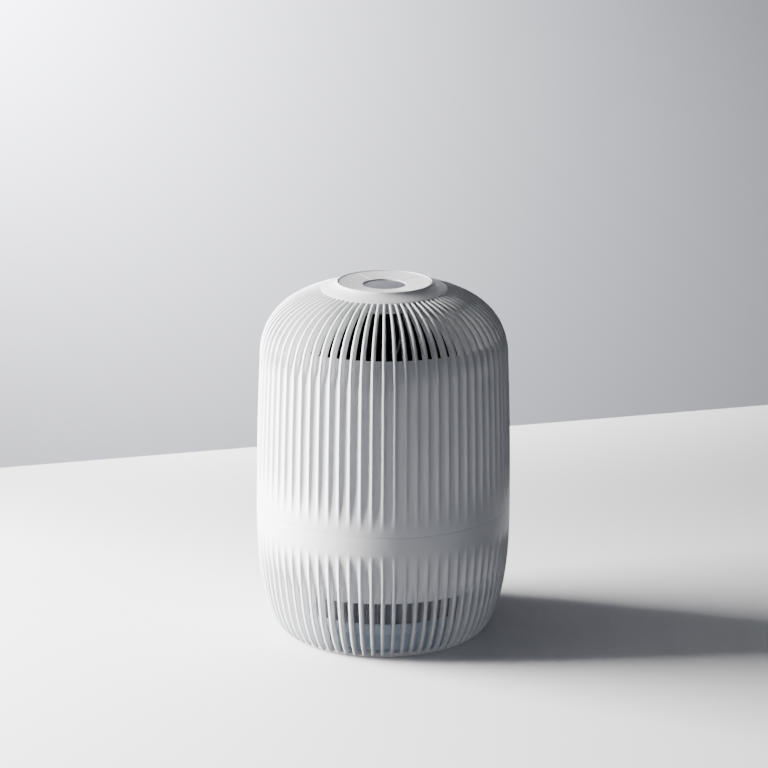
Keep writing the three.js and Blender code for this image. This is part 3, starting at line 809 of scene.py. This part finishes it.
@dataclass
class LowerHousing(Housing):
    """The foot of the body: inlet slots all round, grooves that fade out below the seam."""

    top: float = Span.of("lower_shell").top
    inlet_top: float = 54.8
    chamfer: float = 2.9

    def build(self) -> None:
        """Builds the housing with the soft chamfer at the seam."""
        stations = [Station(0.8, 3.4, 0.0, 2.7, 0.0), Station(2.8, 3.4, 0.0, 2.7, 0.0),
                    Station(3.5, 3.4, 0.7, 2.7, 1.0), Station(4.5, 3.4, 0.0, 3.0, 1.0),
                    Station(14, 3.4, 0.0, 5.0, 1.0), Station(33, 3.4, 0.0, 5.3, 1.0),
                    Station(53, 3.5, 0.0, 6.1, 1.0), Station(self.inlet_top, 3.5, 4.2, 6.2, 1.0),
                    Station(62, 3.6, 3.2, 6.2, 0.7), Station(74, 3.7, 2.3, 6, 0.0),
                    Station(86, 3.8, 1.5, 6, 0.0), Station(93, 3.8, 0.7, 6, 0.0),
                    Station(97, 3.8, 0.3, 6, 0.0), Station(100, 4, 0.0, 6, 0.0)]
        shut = [0.8, 1.3, 2.0, 2.8]
        slots = [3.5, 4.5, 6, 8, 11, 14.5, 18.5, 23, 28, 33, 38, 43, 48, 52.5]
        middle = [self.inlet_top, 56.5, 59, 63, 68, 72, 76, 80, 83, 86, 88.5, 91, 93, 95, 97, 98.5,
                  100, 104, 108]
        seam = [(self.top - self.chamfer, 0.0), (self.top - 1.6, 0.02), (self.top - 0.3, 0.12),
                (self.top + 0.02, 0.16), (self.top + 0.12, 0.28)]
        levels = [self.level(z, stations) for z in shut]
        levels += [self.level(z, stations, opened=True) for z in slots]
        levels += [self.level(z, stations) for z in middle]
        levels += [self.level(z, stations, sink) for z, sink in seam]
        ledge = Span.of("lock_ring").bottom - 0.3
        skin = RibbedSkin(levels, [(80.6, 0.8), (80.6, 3.4), (72, 3.4), (72, 6.0), (84, 6.0)],
                          [(self.rim_bore, self.top + 0.12), (self.rim_bore, ledge), (100.5, ledge)])
        settle(skin.build().build("lower_housing", SHELL_ABS), "base", "shell", "lower_shell")


@dataclass
class UpperHousing(Housing):
    """The tall ribbed housing with the slotted dome, four screw bosses and the hole of the inlet."""

    bottom: float = Span.of("upper_shell").bottom
    shoulder: float = 240.4
    slots_z: float = 267.1
    hub_outer: float = 60.5
    hub_inner: float = 54.3
    hub_depth: float = 5.6
    hole: float = 5.2
    hole_z: float = 123.6
    boss_ring: float = 97.3

    def levels(self) -> list[Level]:
        """Levels from the seam up and over the dome to the panel's collar.

        Returns:
            The levels, lowest first.
        """
        hub, end = (self.outline.height(r) for r in (self.hub_outer, self.hub_inner))
        stations = [Station(121, 4, 0.0, 6, 0.0), Station(126, 4, 0.2, 6, 0.0),
                    Station(132, 3.9, 0.6, 6, 0.0), Station(142, 3.8, 1.3, 6, 0.0),
                    Station(158, 3.8, 1.9, 6, 0.0), Station(self.shoulder, 3.6, 2.3, 6, 0.0),
                    Station(246, 3.6, 2.7, 6, 0.0), Station(264, 3.2, 4.5, 6.5, 1.0),
                    Station(self.slots_z, 3.1, 4.6, 6.6, 1.0),
                    Station(self.slots_z + 1, 3.1, 0.0, 6.6, 1.0),
                    Station(282, 2.8, 0.0, 7, 1.0), Station(293.5, 2.5, 0.0, 6.6, 1.0),
                    Station(hub - 0.2, 2.3, 0.0, 5.6, 1.0), Station(hub, 2.3, 4.0, 5.6, 1.0),
                    Station(end, 2.2, 4.0, 5.6, 1.0)]
        seam = [(self.bottom - 0.12, 0.26), (self.bottom + 0.02, 0.12), (self.bottom + 1.2, 0.02),
                (self.bottom + 2.4, 0.0)]
        wall = [121, 122.5, 124, 126, 128, 130, 132, 135, 138, 142, 147, 152, 158, 174, 190, 205, 220, 233,
                self.shoulder, 244, 248, 252, 256, 260, 264]
        slots = [self.slots_z, self.slots_z + 1, 270, 273, 276, 279, 282, 285, 288, 290.5, 293, 295]
        slots += [self.outline.height(r) for r in (74, 70.5, 67, 64, 62)]
        top = [(hub, 0.9), ((2 * hub + end) / 3, 0.95), ((hub + 2 * end) / 3, 1.0), (end, 1.0)]
        levels = [self.level(z, stations, sink) for z, sink in seam]
        levels += [self.level(z, stations) for z in wall]
        levels += [self.level(z, stations, opened=True,
                              upright=max(0.0, (z - 290) / (hub - 290)) ** 2 * 0.9) for z in slots]
        levels += [self.level(z, stations, upright=share) for z, share in top]
        return levels

    def build(self) -> None:
        """Builds the housing, drills the inlet's hole and adds the screw bosses."""
        end = self.outline.height(self.hub_inner)
        ledge = Span.of("lock_ring").top + 0.3
        skin = RibbedSkin(self.levels(), [(self.rim_bore, self.bottom - 0.12), (self.rim_bore, ledge),
                                          (101.5, ledge), (100.7, self.shoulder)],
                          [(self.hub_inner, end - self.hub_depth)])
        sketch = skin.build()
        plate_top = Span.of("intake_plate").low.z + 2.7
        for quarter in range(4):
            turn = math.radians(45 + 90 * quarter)
            boss = revolve([(1.6, plate_top), (3.8, plate_top), (3.8, 150), (1.6, 150)], 24, 0.3)
            web = slab([(self.boss_ring + 2, -1.6), (self.boss_ring + 5.6, -1.6),
                        (self.boss_ring + 5.6, 1.6), (self.boss_ring + 2, 1.6)], plate_top, 150)
            boss.move(Matrix.Translation((self.boss_ring, 0, 0)))
            for part in (boss, web):
                part.move(Matrix.Rotation(turn, 4, "Z"))
                sketch.join(part)
        piece = sketch.build("upper_housing", SHELL_ABS)
        drill = revolve([(0, -9), (self.hole, -9), (self.hole, 9), (0, 9)], 48, 0.0)
        drill.move(Matrix.Translation((0, 106, self.hole_z)) @ Matrix.Rotation(math.pi / 2, 4, "X"))
        carved(piece, drill.build("drill", SHELL_ABS))
        piece.data.set_sharp_from_angle(angle=math.radians(40))
        settle(piece, "housing", "shell", "upper_shell")


# ---- Control panel --------------------------------------------------------------------------------


class Mark(Enum):
    """The plain printed marks of the four buttons."""

    POWER = "power"
    FAN = "fan"
    NIGHT = "night"
    TIMER = "timer"

    def strokes(self) -> list[list[Point]]:
        """Draws the mark with the outer rim of the panel upwards.

        Returns:
            Its centre lines, in millimetres.
        """
        def arc(radius: float, start: float, stop: float, x: float = 0.0, y: float = 0.0) -> list[Point]:
            """Points on an arc, angles in degrees."""
            return [(x + radius * math.cos(math.radians(a)), y + radius * math.sin(math.radians(a)))
                    for a in np.linspace(start, stop, 25)]
        if self is Mark.POWER:
            return [arc(2.3, 125, 415), [(0, 0.6), (0, 2.9)]]
        if self is Mark.FAN:
            return [arc(1.25, turn - 150, turn + 150, 1.35 * math.cos(math.radians(turn)),
                        1.35 * math.sin(math.radians(turn))) for turn in (90, 210, 330)]
        if self is Mark.NIGHT:
            return [arc(2.5, 60, 300) + arc(2.2, 268, 92, 1.35)]
        return [arc(2.5, 0, 360), [(0, 1.5), (0, 0), (1.1, -0.6)]]


@dataclass
class ControlPanel:
    """Collar, four quarter buttons round a smoked lens, and what lies below them. Millimetres."""

    bore: float = 39.7
    inner: float = 18.4
    outer: float = 39.1
    inner_z: float = 307.1
    outer_z: float = 309.3
    skin: float = 1.8
    gap: float = 0.5
    stem_ring: float = 28.8
    stroke: float = 0.42
    lens_rise: float = 0.45
    stem_hole: float = 2.4
    marks: tuple[tuple[str, Mark, Finish], ...] = (
        ("right", Mark.TIMER, PRINT_INK), ("back", Mark.FAN, LIT_INK), ("left", Mark.NIGHT, PRINT_INK),
        ("front", Mark.POWER, PRINT_INK))

    def collar(self) -> None:
        """The flared collar: a steep lip, then a slightly hollow slope down to the ribs."""
        top = Span.of("control_bezel").top
        slope = [(54, 302.6), (54, 303.25), (53.6, 303.5), (51, 304.35), (48, 305.4), (45, 306.6),
                 (42.8, 307.7), (41.7, 308.55), (41.1, 309.25), (40.8, 309.58), (40.5, top)]
        outline = [(51.6, 298.6), (54, 298.6)] + slope + [
            (40.0, top), (39.8, top - 0.12), (self.bore, top - 0.5), (self.bore, 301.2), (42.2, 301.2),
            (42.2, 304.4), (51.6, 300.8)]
        piece = revolve(outline, 192, 0.0).build("panel_collar", PANEL_ABS, 50)
        settle(piece, "housing", "panel", "control_bezel")
        # The skirt and ledge below stand for the same bezel; their black is painted shade for the dark seen
        # through the slots.
        skirt_section = [(51.6, 292.3), (58.5, 292.3), (58.5, 294.5), (54, 294.5), (54, 298.5), (51.6, 298.5)]
        skirt = revolve(skirt_section, 160, 0.2).build("collar_skirt_painted_shade", BLACK_PP_AND_PAINTED_SHADE)
        settle(skirt, "housing", "black", "control_bezel")
        ledge = revolve([(36.5, 299), (42.2, 299), (42.2, 301.2), (36.5, 301.2)], 128, 0.2)
        settle(ledge.build("collar_ledge_painted_shade", BLACK_PP_AND_PAINTED_SHADE), "housing", "black", "control_bezel")

    def surface(self, radius: float) -> float:
        """Height of the dished buttons at a radius."""
        share = (radius - self.inner) / (self.outer - self.inner)
        return self.inner_z + (self.outer_z - self.inner_z) * (0.82 * share + 0.18 * share * share)

    def cap(self, side: str, turn: float) -> None:
        """One quarter button, with the stem that reaches its switch.

        Args:
            side: which button.
            turn: the angle of its middle.
        """
        radii = np.linspace(self.inner, self.outer, 9)
        share = np.linspace(-1, 1, 33)
        sketch = Sketch()
        grids = []
        for drop in (0.0, self.skin):
            half = math.pi / 4 - np.arcsin(self.gap / 2 / radii)
            angle = share[:, None] * half[None, :]
            height = np.array([self.surface(r) for r in radii]) - drop
            grids.append(sketch.add(np.stack([radii * np.cos(angle), radii * np.sin(angle),
                                              np.broadcast_to(height, angle.shape)], -1)))
        upper, lower = grids
        sketch.skin(upper[:-1], upper[1:])
        sketch.skin(lower[1:], lower[:-1])
        around = [np.concatenate([grid[:, -1], grid[-1, -2::-1], grid[-2::-1, 0], grid[0, 1:]])
                  for grid in (lower, upper)]
        sketch.skin(*around)
        stem = revolve([(0, 301.7), (1.9, 301.7), (1.9, 307), (0, 307)], 24, 0.2)
        stem.move(Matrix.Translation((self.stem_ring, 0, 0)))
        sketch.join(stem)
        sketch.move(Matrix.Rotation(turn, 4, "Z"))
        piece = bevelled(sketch.build(f"cap_{side}", PANEL_ABS), 0.22)
        settle(piece, f"button_{side}", "panel", f"button_{side}")

    def print_mark(self, side: str, turn: float, mark: Mark, ink: Finish) -> None:
        """The mark on a button, a film of ink along its strokes.

        Args:
            side: which button.
            turn: the angle of its middle.
            mark: what is printed.
            ink: what it is printed with.
        """
        sketch = Sketch()
        for line in mark.strokes():
            path = np.array(line)
            ahead = np.gradient(path, axis=0)
            normal = np.stack([-ahead[:, 1], ahead[:, 0]], -1) / np.hypot(*ahead.T)[:, None]
            rows = []
            for lift in (0.03, -0.1):
                for sign in (0.5, -0.5):
                    flat = path + sign * self.stroke * normal
                    radius = self.stem_ring + flat[:, 1]
                    angle = -flat[:, 0] / self.stem_ring
                    height = np.array([self.surface(r) for r in radius]) + lift
                    rows.append(sketch.add(np.stack([radius * np.cos(angle), radius * np.sin(angle),
                                                     height], -1)))
            left, right, low_left, low_right = rows
            for pair in ((right, left), (left, low_left), (low_left, low_right), (low_right, right)):
                sketch.skin(*pair)
            for end, flip in ((0, False), (-1, True)):
                corner = [int(row[end]) for row in (left, right, low_right, low_left)]
                sketch.faces.append(tuple(corner[::-1] if flip else corner))
        sketch.move(Matrix.Rotation(turn, 4, "Z"))
        settle(sketch.build(f"mark_{side}", ink), f"button_{side}", "panel")

    def tray(self) -> None:
        """The tray under the buttons, with the holes that their stems pass through."""
        tray = Span.of("panel_tray")
        shelf = revolve([(0, tray.bottom), (tray.radius, tray.bottom), (tray.radius, tray.bottom + 1.8),
                         (17, tray.bottom + 1.8), (17, tray.top), (0, tray.top)], 128)
        piece = shelf.build("button_tray", BLACK_PP_AND_PAINTED_SHADE)
        cutters = []
        for quarter in range(4):
            hole = revolve([(0, -2), (self.stem_hole, -2), (self.stem_hole, 4), (0, 4)], 32, 0.0)
            hole.move(Matrix.Rotation(quarter * math.pi / 2, 4, "Z")
                      @ Matrix.Translation((self.stem_ring, 0, tray.bottom)))
            cutters.append(hole.build(f"hole_{quarter}", BLACK_PP_AND_PAINTED_SHADE))
        carved(piece, *cutters).data.set_sharp_from_angle(angle=math.radians(30))
        settle(piece, "housing", "black", "panel_tray")

    def build(self) -> None:
        """Builds the panel from the collar inwards."""
        self.collar()
        for quarter, (side, mark, ink) in enumerate(self.marks):
            turn = quarter * math.pi / 2
            self.cap(side, turn)
            self.print_mark(side, turn, mark, ink)
        span = Span.of("display_lens")
        dome = [(r, span.top - self.lens_rise * (r / span.radius) ** 2)
                for r in np.linspace(span.radius - 0.35, 0, 12)]
        lens = [(0.0, span.bottom), (span.radius, span.bottom), (span.radius, span.top - 0.75)] + dome
        piece = revolve(lens, 128, 0.0).build("smoked_lens", LENS_PC, 50)
        settle(piece, "housing", "lens", "display_lens")
        self.tray()
        dress(BOARD_EPOXY, "control_board")
        dress(BLACK_NYLON, *(f"switch_{side}" for side, _, _ in self.marks))


# ---- Filter, fan and base -------------------------------------------------------------------------


@dataclass
class RingFilter:
    """The ring filter: pleats round a carbon sleeve between cast caps. Millimetres."""

    bore: float = 41.0
    pleats: int = 240
    pleat_depth: float = 3.4
    media_bore: float = 47.4
    wall: float = 1.2
    floor: float = 2.4
    tab_start: float = -56.0

    def media(self) -> None:
        """The folded sheet: rounded outer folds, each a little out of true."""
        span = Span.of("filter_media")
        rng = np.random.default_rng(11)
        steps = 5 * self.pleats
        angle = np.arange(steps) * TURN / steps
        fold = np.tile([0.0, 0.35, 1.0, 0.92, 0.3], self.pleats)
        jitter = np.repeat(rng.normal(0, 0.10, self.pleats), 5) * TURN / self.pleats
        sketch = Sketch()
        outer, inner = [], []
        for z, sway in ((span.bottom, 0.0), (0.5 * (span.bottom + span.top), 1.0), (span.top, 0.0)):
            reach = span.radius - 0.15 - self.pleat_depth * fold - 0.25 * np.abs(jitter) * 100
            turned = angle + jitter * (1 + 0.4 * sway)
            outer.append(sketch.add(np.stack([reach * np.cos(turned), reach * np.sin(turned),
                                              np.full(steps, z)], -1)))
            inner.append(sketch.add(np.stack([self.media_bore * np.cos(angle),
                                              self.media_bore * np.sin(angle), np.full(steps, z)], -1)))
        loop = [np.append(row, row[0]) for row in (*outer, *inner[::-1])]
        for low, high in zip(loop, loop[1:] + loop[:1]):
            sketch.skin(low, high)
        settle(sketch.build("pleated_media", PLEAT_FELT, 60), "filter", "media", "filter_media")

    def tab(self) -> None:
        """The woven pull tab, arched a little along its length and narrowed at its free end."""
        span = Span.of("pull_tab")
        sketch = Sketch()
        length, across = np.linspace(0, 1, 17), np.linspace(-1, 1, 9)
        far = span.low.y
        rows = []
        for lift in (0.55, 0.0):
            y = self.tab_start + (far - self.tab_start) * length[:, None] + 0 * across[None, :]
            half = np.where(length > 0.85, 7 - 3 * (length - 0.85) / 0.15, 7.0)[:, None]
            x = half * across[None, :]
            arch = 0.4 * np.sin(np.pi * length)[:, None] * (1 - 0.3 * across ** 2)[None, :]
            z = span.bottom + lift + arch
            rows.append(sketch.add(np.stack([x, y, z], -1)))
        upper, lower = rows
        sketch.skin(upper[1:], upper[:-1])
        sketch.skin(lower[:-1], lower[1:])
        rim = [np.concatenate([grid[:, -1], grid[-1, -2::-1], grid[-2::-1, 0], grid[0, 1:]])
               for grid in (upper, lower)]
        sketch.skin(*rim)
        settle(sketch.build("woven_tab", TAPE_WEAVE), "filter", "ribbon", "pull_tab")

    def build(self) -> None:
        """Builds the filter from the bottom up."""
        cup = Span.of("filter_cap_lower")
        outline = [(0.0, cup.bottom), (cup.radius, cup.bottom), (cup.radius, cup.top),
                   (cup.radius - self.wall, cup.top), (cup.radius - self.wall, cup.bottom + self.floor),
                   (0.0, cup.bottom + self.floor)]
        settle(revolve(outline, 192, 0.45).build("lower_end_cap", CAP_PU), "filter", "cap",
               "filter_cap_lower")
        self.media()
        for node, name, bore, finish, slot, soft in (
                ("carbon_sleeve", "carbon_tube", self.bore, CARBON_FOAM, "carbon", 0.3),
                ("filter_cap_upper", "upper_end_cap", self.bore, CAP_PU, "cap", 0.9),
                ("filter_gasket", "soft_gasket", 43.0, GASKET_EVA, "foam", 0.7)):
            piece = revolve(Span.of(node).tube(bore), 160, soft).build(name, finish)
            settle(piece, "filter", slot, node)
        self.tab()


@dataclass
class Fan:
    """Intake plate, guard, duct and motor under the dome. Millimetres."""

    throat: float = 42.0
    duct_bore: float = 88.0
    lip: float = 3.4

    def build(self) -> None:
        """Builds what can be seen and dresses the rest."""
        plate = Span.of("intake_plate")
        low, high = plate.bottom, plate.bottom + 2.4
        mouth = [(self.throat + 0.4 + 4.4 * t ** 2.2, high + 9 - 11.4 * t) for t in np.linspace(0, 1, 14)]
        outline = [(46.8, low), (plate.radius, low), (plate.radius, high), (48.6, high), (45, high + 3),
                   (self.throat + 2, high + 9)] + mouth[:-1]
        piece = revolve(outline, 192, 0.0).build("intake_disc", BLACK_PP_AND_PAINTED_SHADE, 50)
        settle(piece, "housing", "black", "intake_plate")
        guard = Span.of("finger_guard")
        sketch = revolve([(0, guard.bottom), (5, guard.bottom), (5, guard.top), (0, guard.top)], 48, 0.5)
        for bore, radius in ((40.1, 41.6), (20.0, 21.5)):
            sketch.join(revolve([(bore, guard.bottom), (radius, guard.bottom), (radius, guard.top),
                                 (bore, guard.top)], 96, 0.4))
        for quarter in range(4):
            spoke = slab([(3, -0.9), (self.throat - 1, -0.9), (self.throat - 1, 0.9), (3, 0.9)],
                         guard.bottom + 0.2, guard.top - 0.2)
            spoke.move(Matrix.Rotation(quarter * math.pi / 2, 4, "Z"))
            sketch.join(spoke)
        settle(sketch.build("throat_guard", BLACK_PP_AND_PAINTED_SHADE), "housing", "black", "finger_guard")
        duct = Span.of("fan_duct")
        outline = [(self.duct_bore, duct.bottom), (93, duct.bottom), (93, duct.bottom + 2.3),
                   (90.3, duct.bottom + 2.3), (90.3, duct.top - 8), (95.6, duct.top - 1.5),
                   (95.6, duct.top + self.lip), (94.4, duct.top + self.lip), (94.4, duct.top),
                   (self.duct_bore, duct.top - 6)]
        piece = revolve(outline, 128, 0.4).build("air_duct", BLACK_PP_AND_PAINTED_SHADE)
        settle(piece, "housing", "black", "fan_duct")
        dress(BLACK_PP_AND_PAINTED_SHADE, "motor_mount", "impeller", "power_lead", "motor_lead")
        dress(CORE_STEEL, "motor_stator", "motor_rotor")
        dress(PLATED_STEEL, "motor_shaft", "impeller_nut", "bearing_lower", "bearing_upper")


@dataclass
class PowerInlet:
    """The round inlet at the back: a nylon socket with a plated pin. Millimetres."""

    bore: float = 3.2
    height: float = 123.6
    collar: float = 4.9

    def build(self) -> None:
        """Builds the socket block with its bore and pin."""
        span = Span.of("dc_jack")
        face = span.high.y
        block = slab([(-6, span.low.y), (6, span.low.y), (6, face - 0.4), (-6, face - 0.4)],
                     span.bottom, span.top)
        rim = revolve([(self.bore, -1.5), (self.collar, -1.5), (self.collar, 0), (self.bore, 0)], 64, 0.3)
        turn = Matrix.Translation((0, face, self.height)) @ Matrix.Rotation(-math.pi / 2, 4, "X")
        rim.move(turn)
        piece = block.build("socket_block", BLACK_NYLON)
        drill = revolve([(0, -8), (self.bore, -8), (self.bore, 2), (0, 2)], 48, 0.0)
        drill.move(turn)
        carved(piece, drill.build("drill", BLACK_NYLON))
        bevelled(piece, 0.3)
        settle(piece, "housing", "component", "dc_jack")
        settle(rim.build("socket_rim", BLACK_NYLON), "housing", "component")
        pin = revolve([(0, -8.2), (1, -8.2), (1, -1.2), (0, -1.2)], 32, 0.35)
        pin.move(turn)
        settle(pin.build("socket_pin", PLATED_STEEL), "housing", "steel")


@dataclass
class Base:
    """What closes the foot: cover, tray, lock ring, pads and screws. Millimetres."""

    foot_ring: float = 66.0
    screw_ring: float = 54.0
    tray_wall: float = 3.5
    tray_floor: float = 2.7

    def cover(self) -> None:
        """The bottom cover with pockets for pads and screws."""
        span = Span.of("base_plate")
        piece = revolve(span.disc(), 160, 0.5).build("bottom_cover", COVER_ABS)
        cutters = []
        for quarter in range(4):
            for ring, degrees, radius, top in (
                    (self.foot_ring, 45, 7.3, 2.0), (self.screw_ring, 0, 3.4, 2.2),
                    (self.screw_ring, 0, 1.8, 5.0)):
                cutter = revolve([(0, -1), (radius, -1), (radius, top), (0, top)], 48, 0.0)
                cutter.move(Matrix.Rotation(math.radians(degrees + 90 * quarter), 4, "Z")
                            @ Matrix.Translation((ring, 0, 0)))
                cutters.append(cutter.build(f"cutter_{len(cutters)}", COVER_ABS))
        carved(piece, *cutters).data.set_sharp_from_angle(angle=math.radians(30))
        settle(piece, "base", "base", "base_plate")

    def tray(self) -> None:
        """The tray that the filter stands in, with its screw bosses."""
        span = Span.of("filter_tray")
        floor = span.bottom + self.tray_floor
        sketch = revolve([(0, span.bottom), (span.radius, span.bottom), (span.radius, span.top),
                          (span.radius - self.tray_wall, span.top), (span.radius - self.tray_wall, floor),
                          (0, floor)], 192, 0.4)
        for quarter in range(4):
            boss = revolve([(0, floor - 0.5), (4, floor - 0.5), (4, 14), (0, 14)], 32, 0.3)
            boss.move(Matrix.Rotation(quarter * math.pi / 2, 4, "Z")
                      @ Matrix.Translation((self.screw_ring, 0, 0)))
            sketch.join(boss)
        settle(sketch.build("standing_tray", TRAY_ABS), "base", "tray", "filter_tray")

    def build(self) -> None:
        """Builds the foot from the bottom up."""
        self.cover()
        self.tray()
        for number in range(1, 5):
            span = Span.of(f"foot_{number}")
            pad = revolve([(0, span.bottom), (7, span.bottom), (7, span.top), (0, span.top)], 64, 0.5)
            middle = (span.low + span.high) / 2
            pad.move(Matrix.Translation((middle.x, middle.y, 0)))
            settle(pad.build(f"pad_{number}", FOOT_RUBBER), "base", "rubber", f"foot_{number}")
            dress(PLATED_STEEL, f"base_screw_{number}", f"plate_screw_{number}")
        dress(PLATED_STEEL, "board_screw_1", "board_screw_2")
        ring = revolve(Span.of("lock_ring").tube(101.0), 192, 0.4)
        settle(ring.build("slip_ring", RING_POM), "turn_ring", "lock_ring", "lock_ring")


# ---- Studio ---------------------------------------------------------------------------------------


@dataclass
class Studio:
    """Camera, pale floor, backdrop and soft light. Lengths are metres, angles degrees."""

    aim_z: float = 0.2186
    distance: float = 2.4
    elevation: float = 15.72
    azimuth: float = 7.5
    lens: float = 130.85
    roll: float = 0.3
    wall_distance: float = 0.568
    wall_turn: float = 16.8

    def camera(self) -> None:
        """Sets the camera, looking down a little from the front."""
        a, e = math.radians(self.azimuth), math.radians(self.elevation)
        aim = Vector((0, 0, self.aim_z))
        place = aim + self.distance * Vector((math.sin(a) * math.cos(e), -math.cos(a) * math.cos(e),
                                              math.sin(e)))
        data = bpy.data.cameras.new("camera")
        data.lens = self.lens
        data.sensor_width = 36
        data.clip_end = 50
        seen = bpy.data.objects.new("camera", data)
        turn = (aim - place).to_track_quat("-Z", "Y").to_matrix().to_4x4()
        seen.matrix_world = (Matrix.Translation(place) @ turn
                             @ Matrix.Rotation(math.radians(self.roll), 4, "Z"))
        bpy.context.scene.collection.objects.link(seen)
        bpy.context.scene.camera = seen

    def light(self, name: str, place: tuple[float, float, float], aim: tuple[float, float, float],
              size: float, watts: float, colour: str, spread: float = 180) -> None:
        """A soft square light that faces a point.

        Args:
            name: the light's name.
            place: its middle.
            aim: the point that it faces.
            size: its side.
            watts: its power.
            colour: its sRGB hex colour.
            spread: how wide its beam opens.
        """
        data = bpy.data.lights.new(name, "AREA")
        data.size = size
        data.energy = watts
        data.spread = math.radians(spread)
        data.color = linear(colour)[:3]
        lamp = bpy.data.objects.new(name, data)
        lamp.location = place
        lamp.rotation_euler = (Vector(aim) - lamp.location).to_track_quat("-Z", "Y").to_euler()
        bpy.context.scene.collection.objects.link(lamp)

    def build(self) -> None:
        """Builds the floor and backdrop, and hangs the lights."""
        self.camera()
        a = math.radians(self.azimuth)
        ahead, right = Vector((-math.sin(a), math.cos(a), 0)), Vector((math.cos(a), math.sin(a), 0))
        floor = slab([(-4000, -4000), (4000, -4000), (4000, 4000), (-4000, 4000)], -20, 0)
        board = slab([(-750, 0), (3000, 0), (3000, 20), (-750, 20)], 0, 2500)
        board.move(Matrix.Translation(ahead * self.wall_distance / MM)
                   @ Matrix.Rotation(math.atan2(right.y, right.x) + math.radians(self.wall_turn), 4, "Z"))
        for sketch, name, finish in ((floor, "studio_floor", FLOOR_PAINT),
                                     (board, "studio_backdrop", WALL_PAINT)):
            piece = sketch.build(name, finish)
            piece.visible_diffuse = False
            piece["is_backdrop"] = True
        self.light("window", (-1.6, -0.05, 0.45), (0, 0, 0.15), 1.0, 430, "FFFDFB")
        self.light("ceiling", (-0.9, 0.1, 2.0), (0, 0, 0.15), 1.2, 6, "FFFFFF")
        self.light("card", (0.1, -0.5, 0.03), (0, 0, 0.0), 0.3, 0.6, "F2F5FF")
        self.light("wash", (-0.88, -0.04, 0.96), (-0.7, 0.30, 0.74), 0.4, 46, "FFFFFF", 60)
        world = bpy.data.worlds.new("room")
        world.use_nodes = True
        background = world.node_tree.nodes["Background"]
        background.inputs["Color"].default_value = linear("D9DEE8")
        background.inputs["Strength"].default_value = 0.11
        bpy.context.scene.world = world


def corners(box: tuple[Vector, Vector]) -> list[list[float]]:
    """The box as plain lists."""
    return [[round(float(value), 6) for value in corner] for corner in box]


def main() -> None:
    """Builds the studio and every part of the purifier."""
    logging.basicConfig(level=logging.INFO, format="%(message)s")
    Studio().build()
    for part in (UpperHousing(), LowerHousing(), ControlPanel(), Base(), RingFilter(), Fan(), PowerInlet()):
        part.build()
        log.info("%s is done", type(part).__name__)
    {"cad": corners(CAD_BOX), "visual": corners(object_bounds())}


if __name__ == "__main__":
    main()
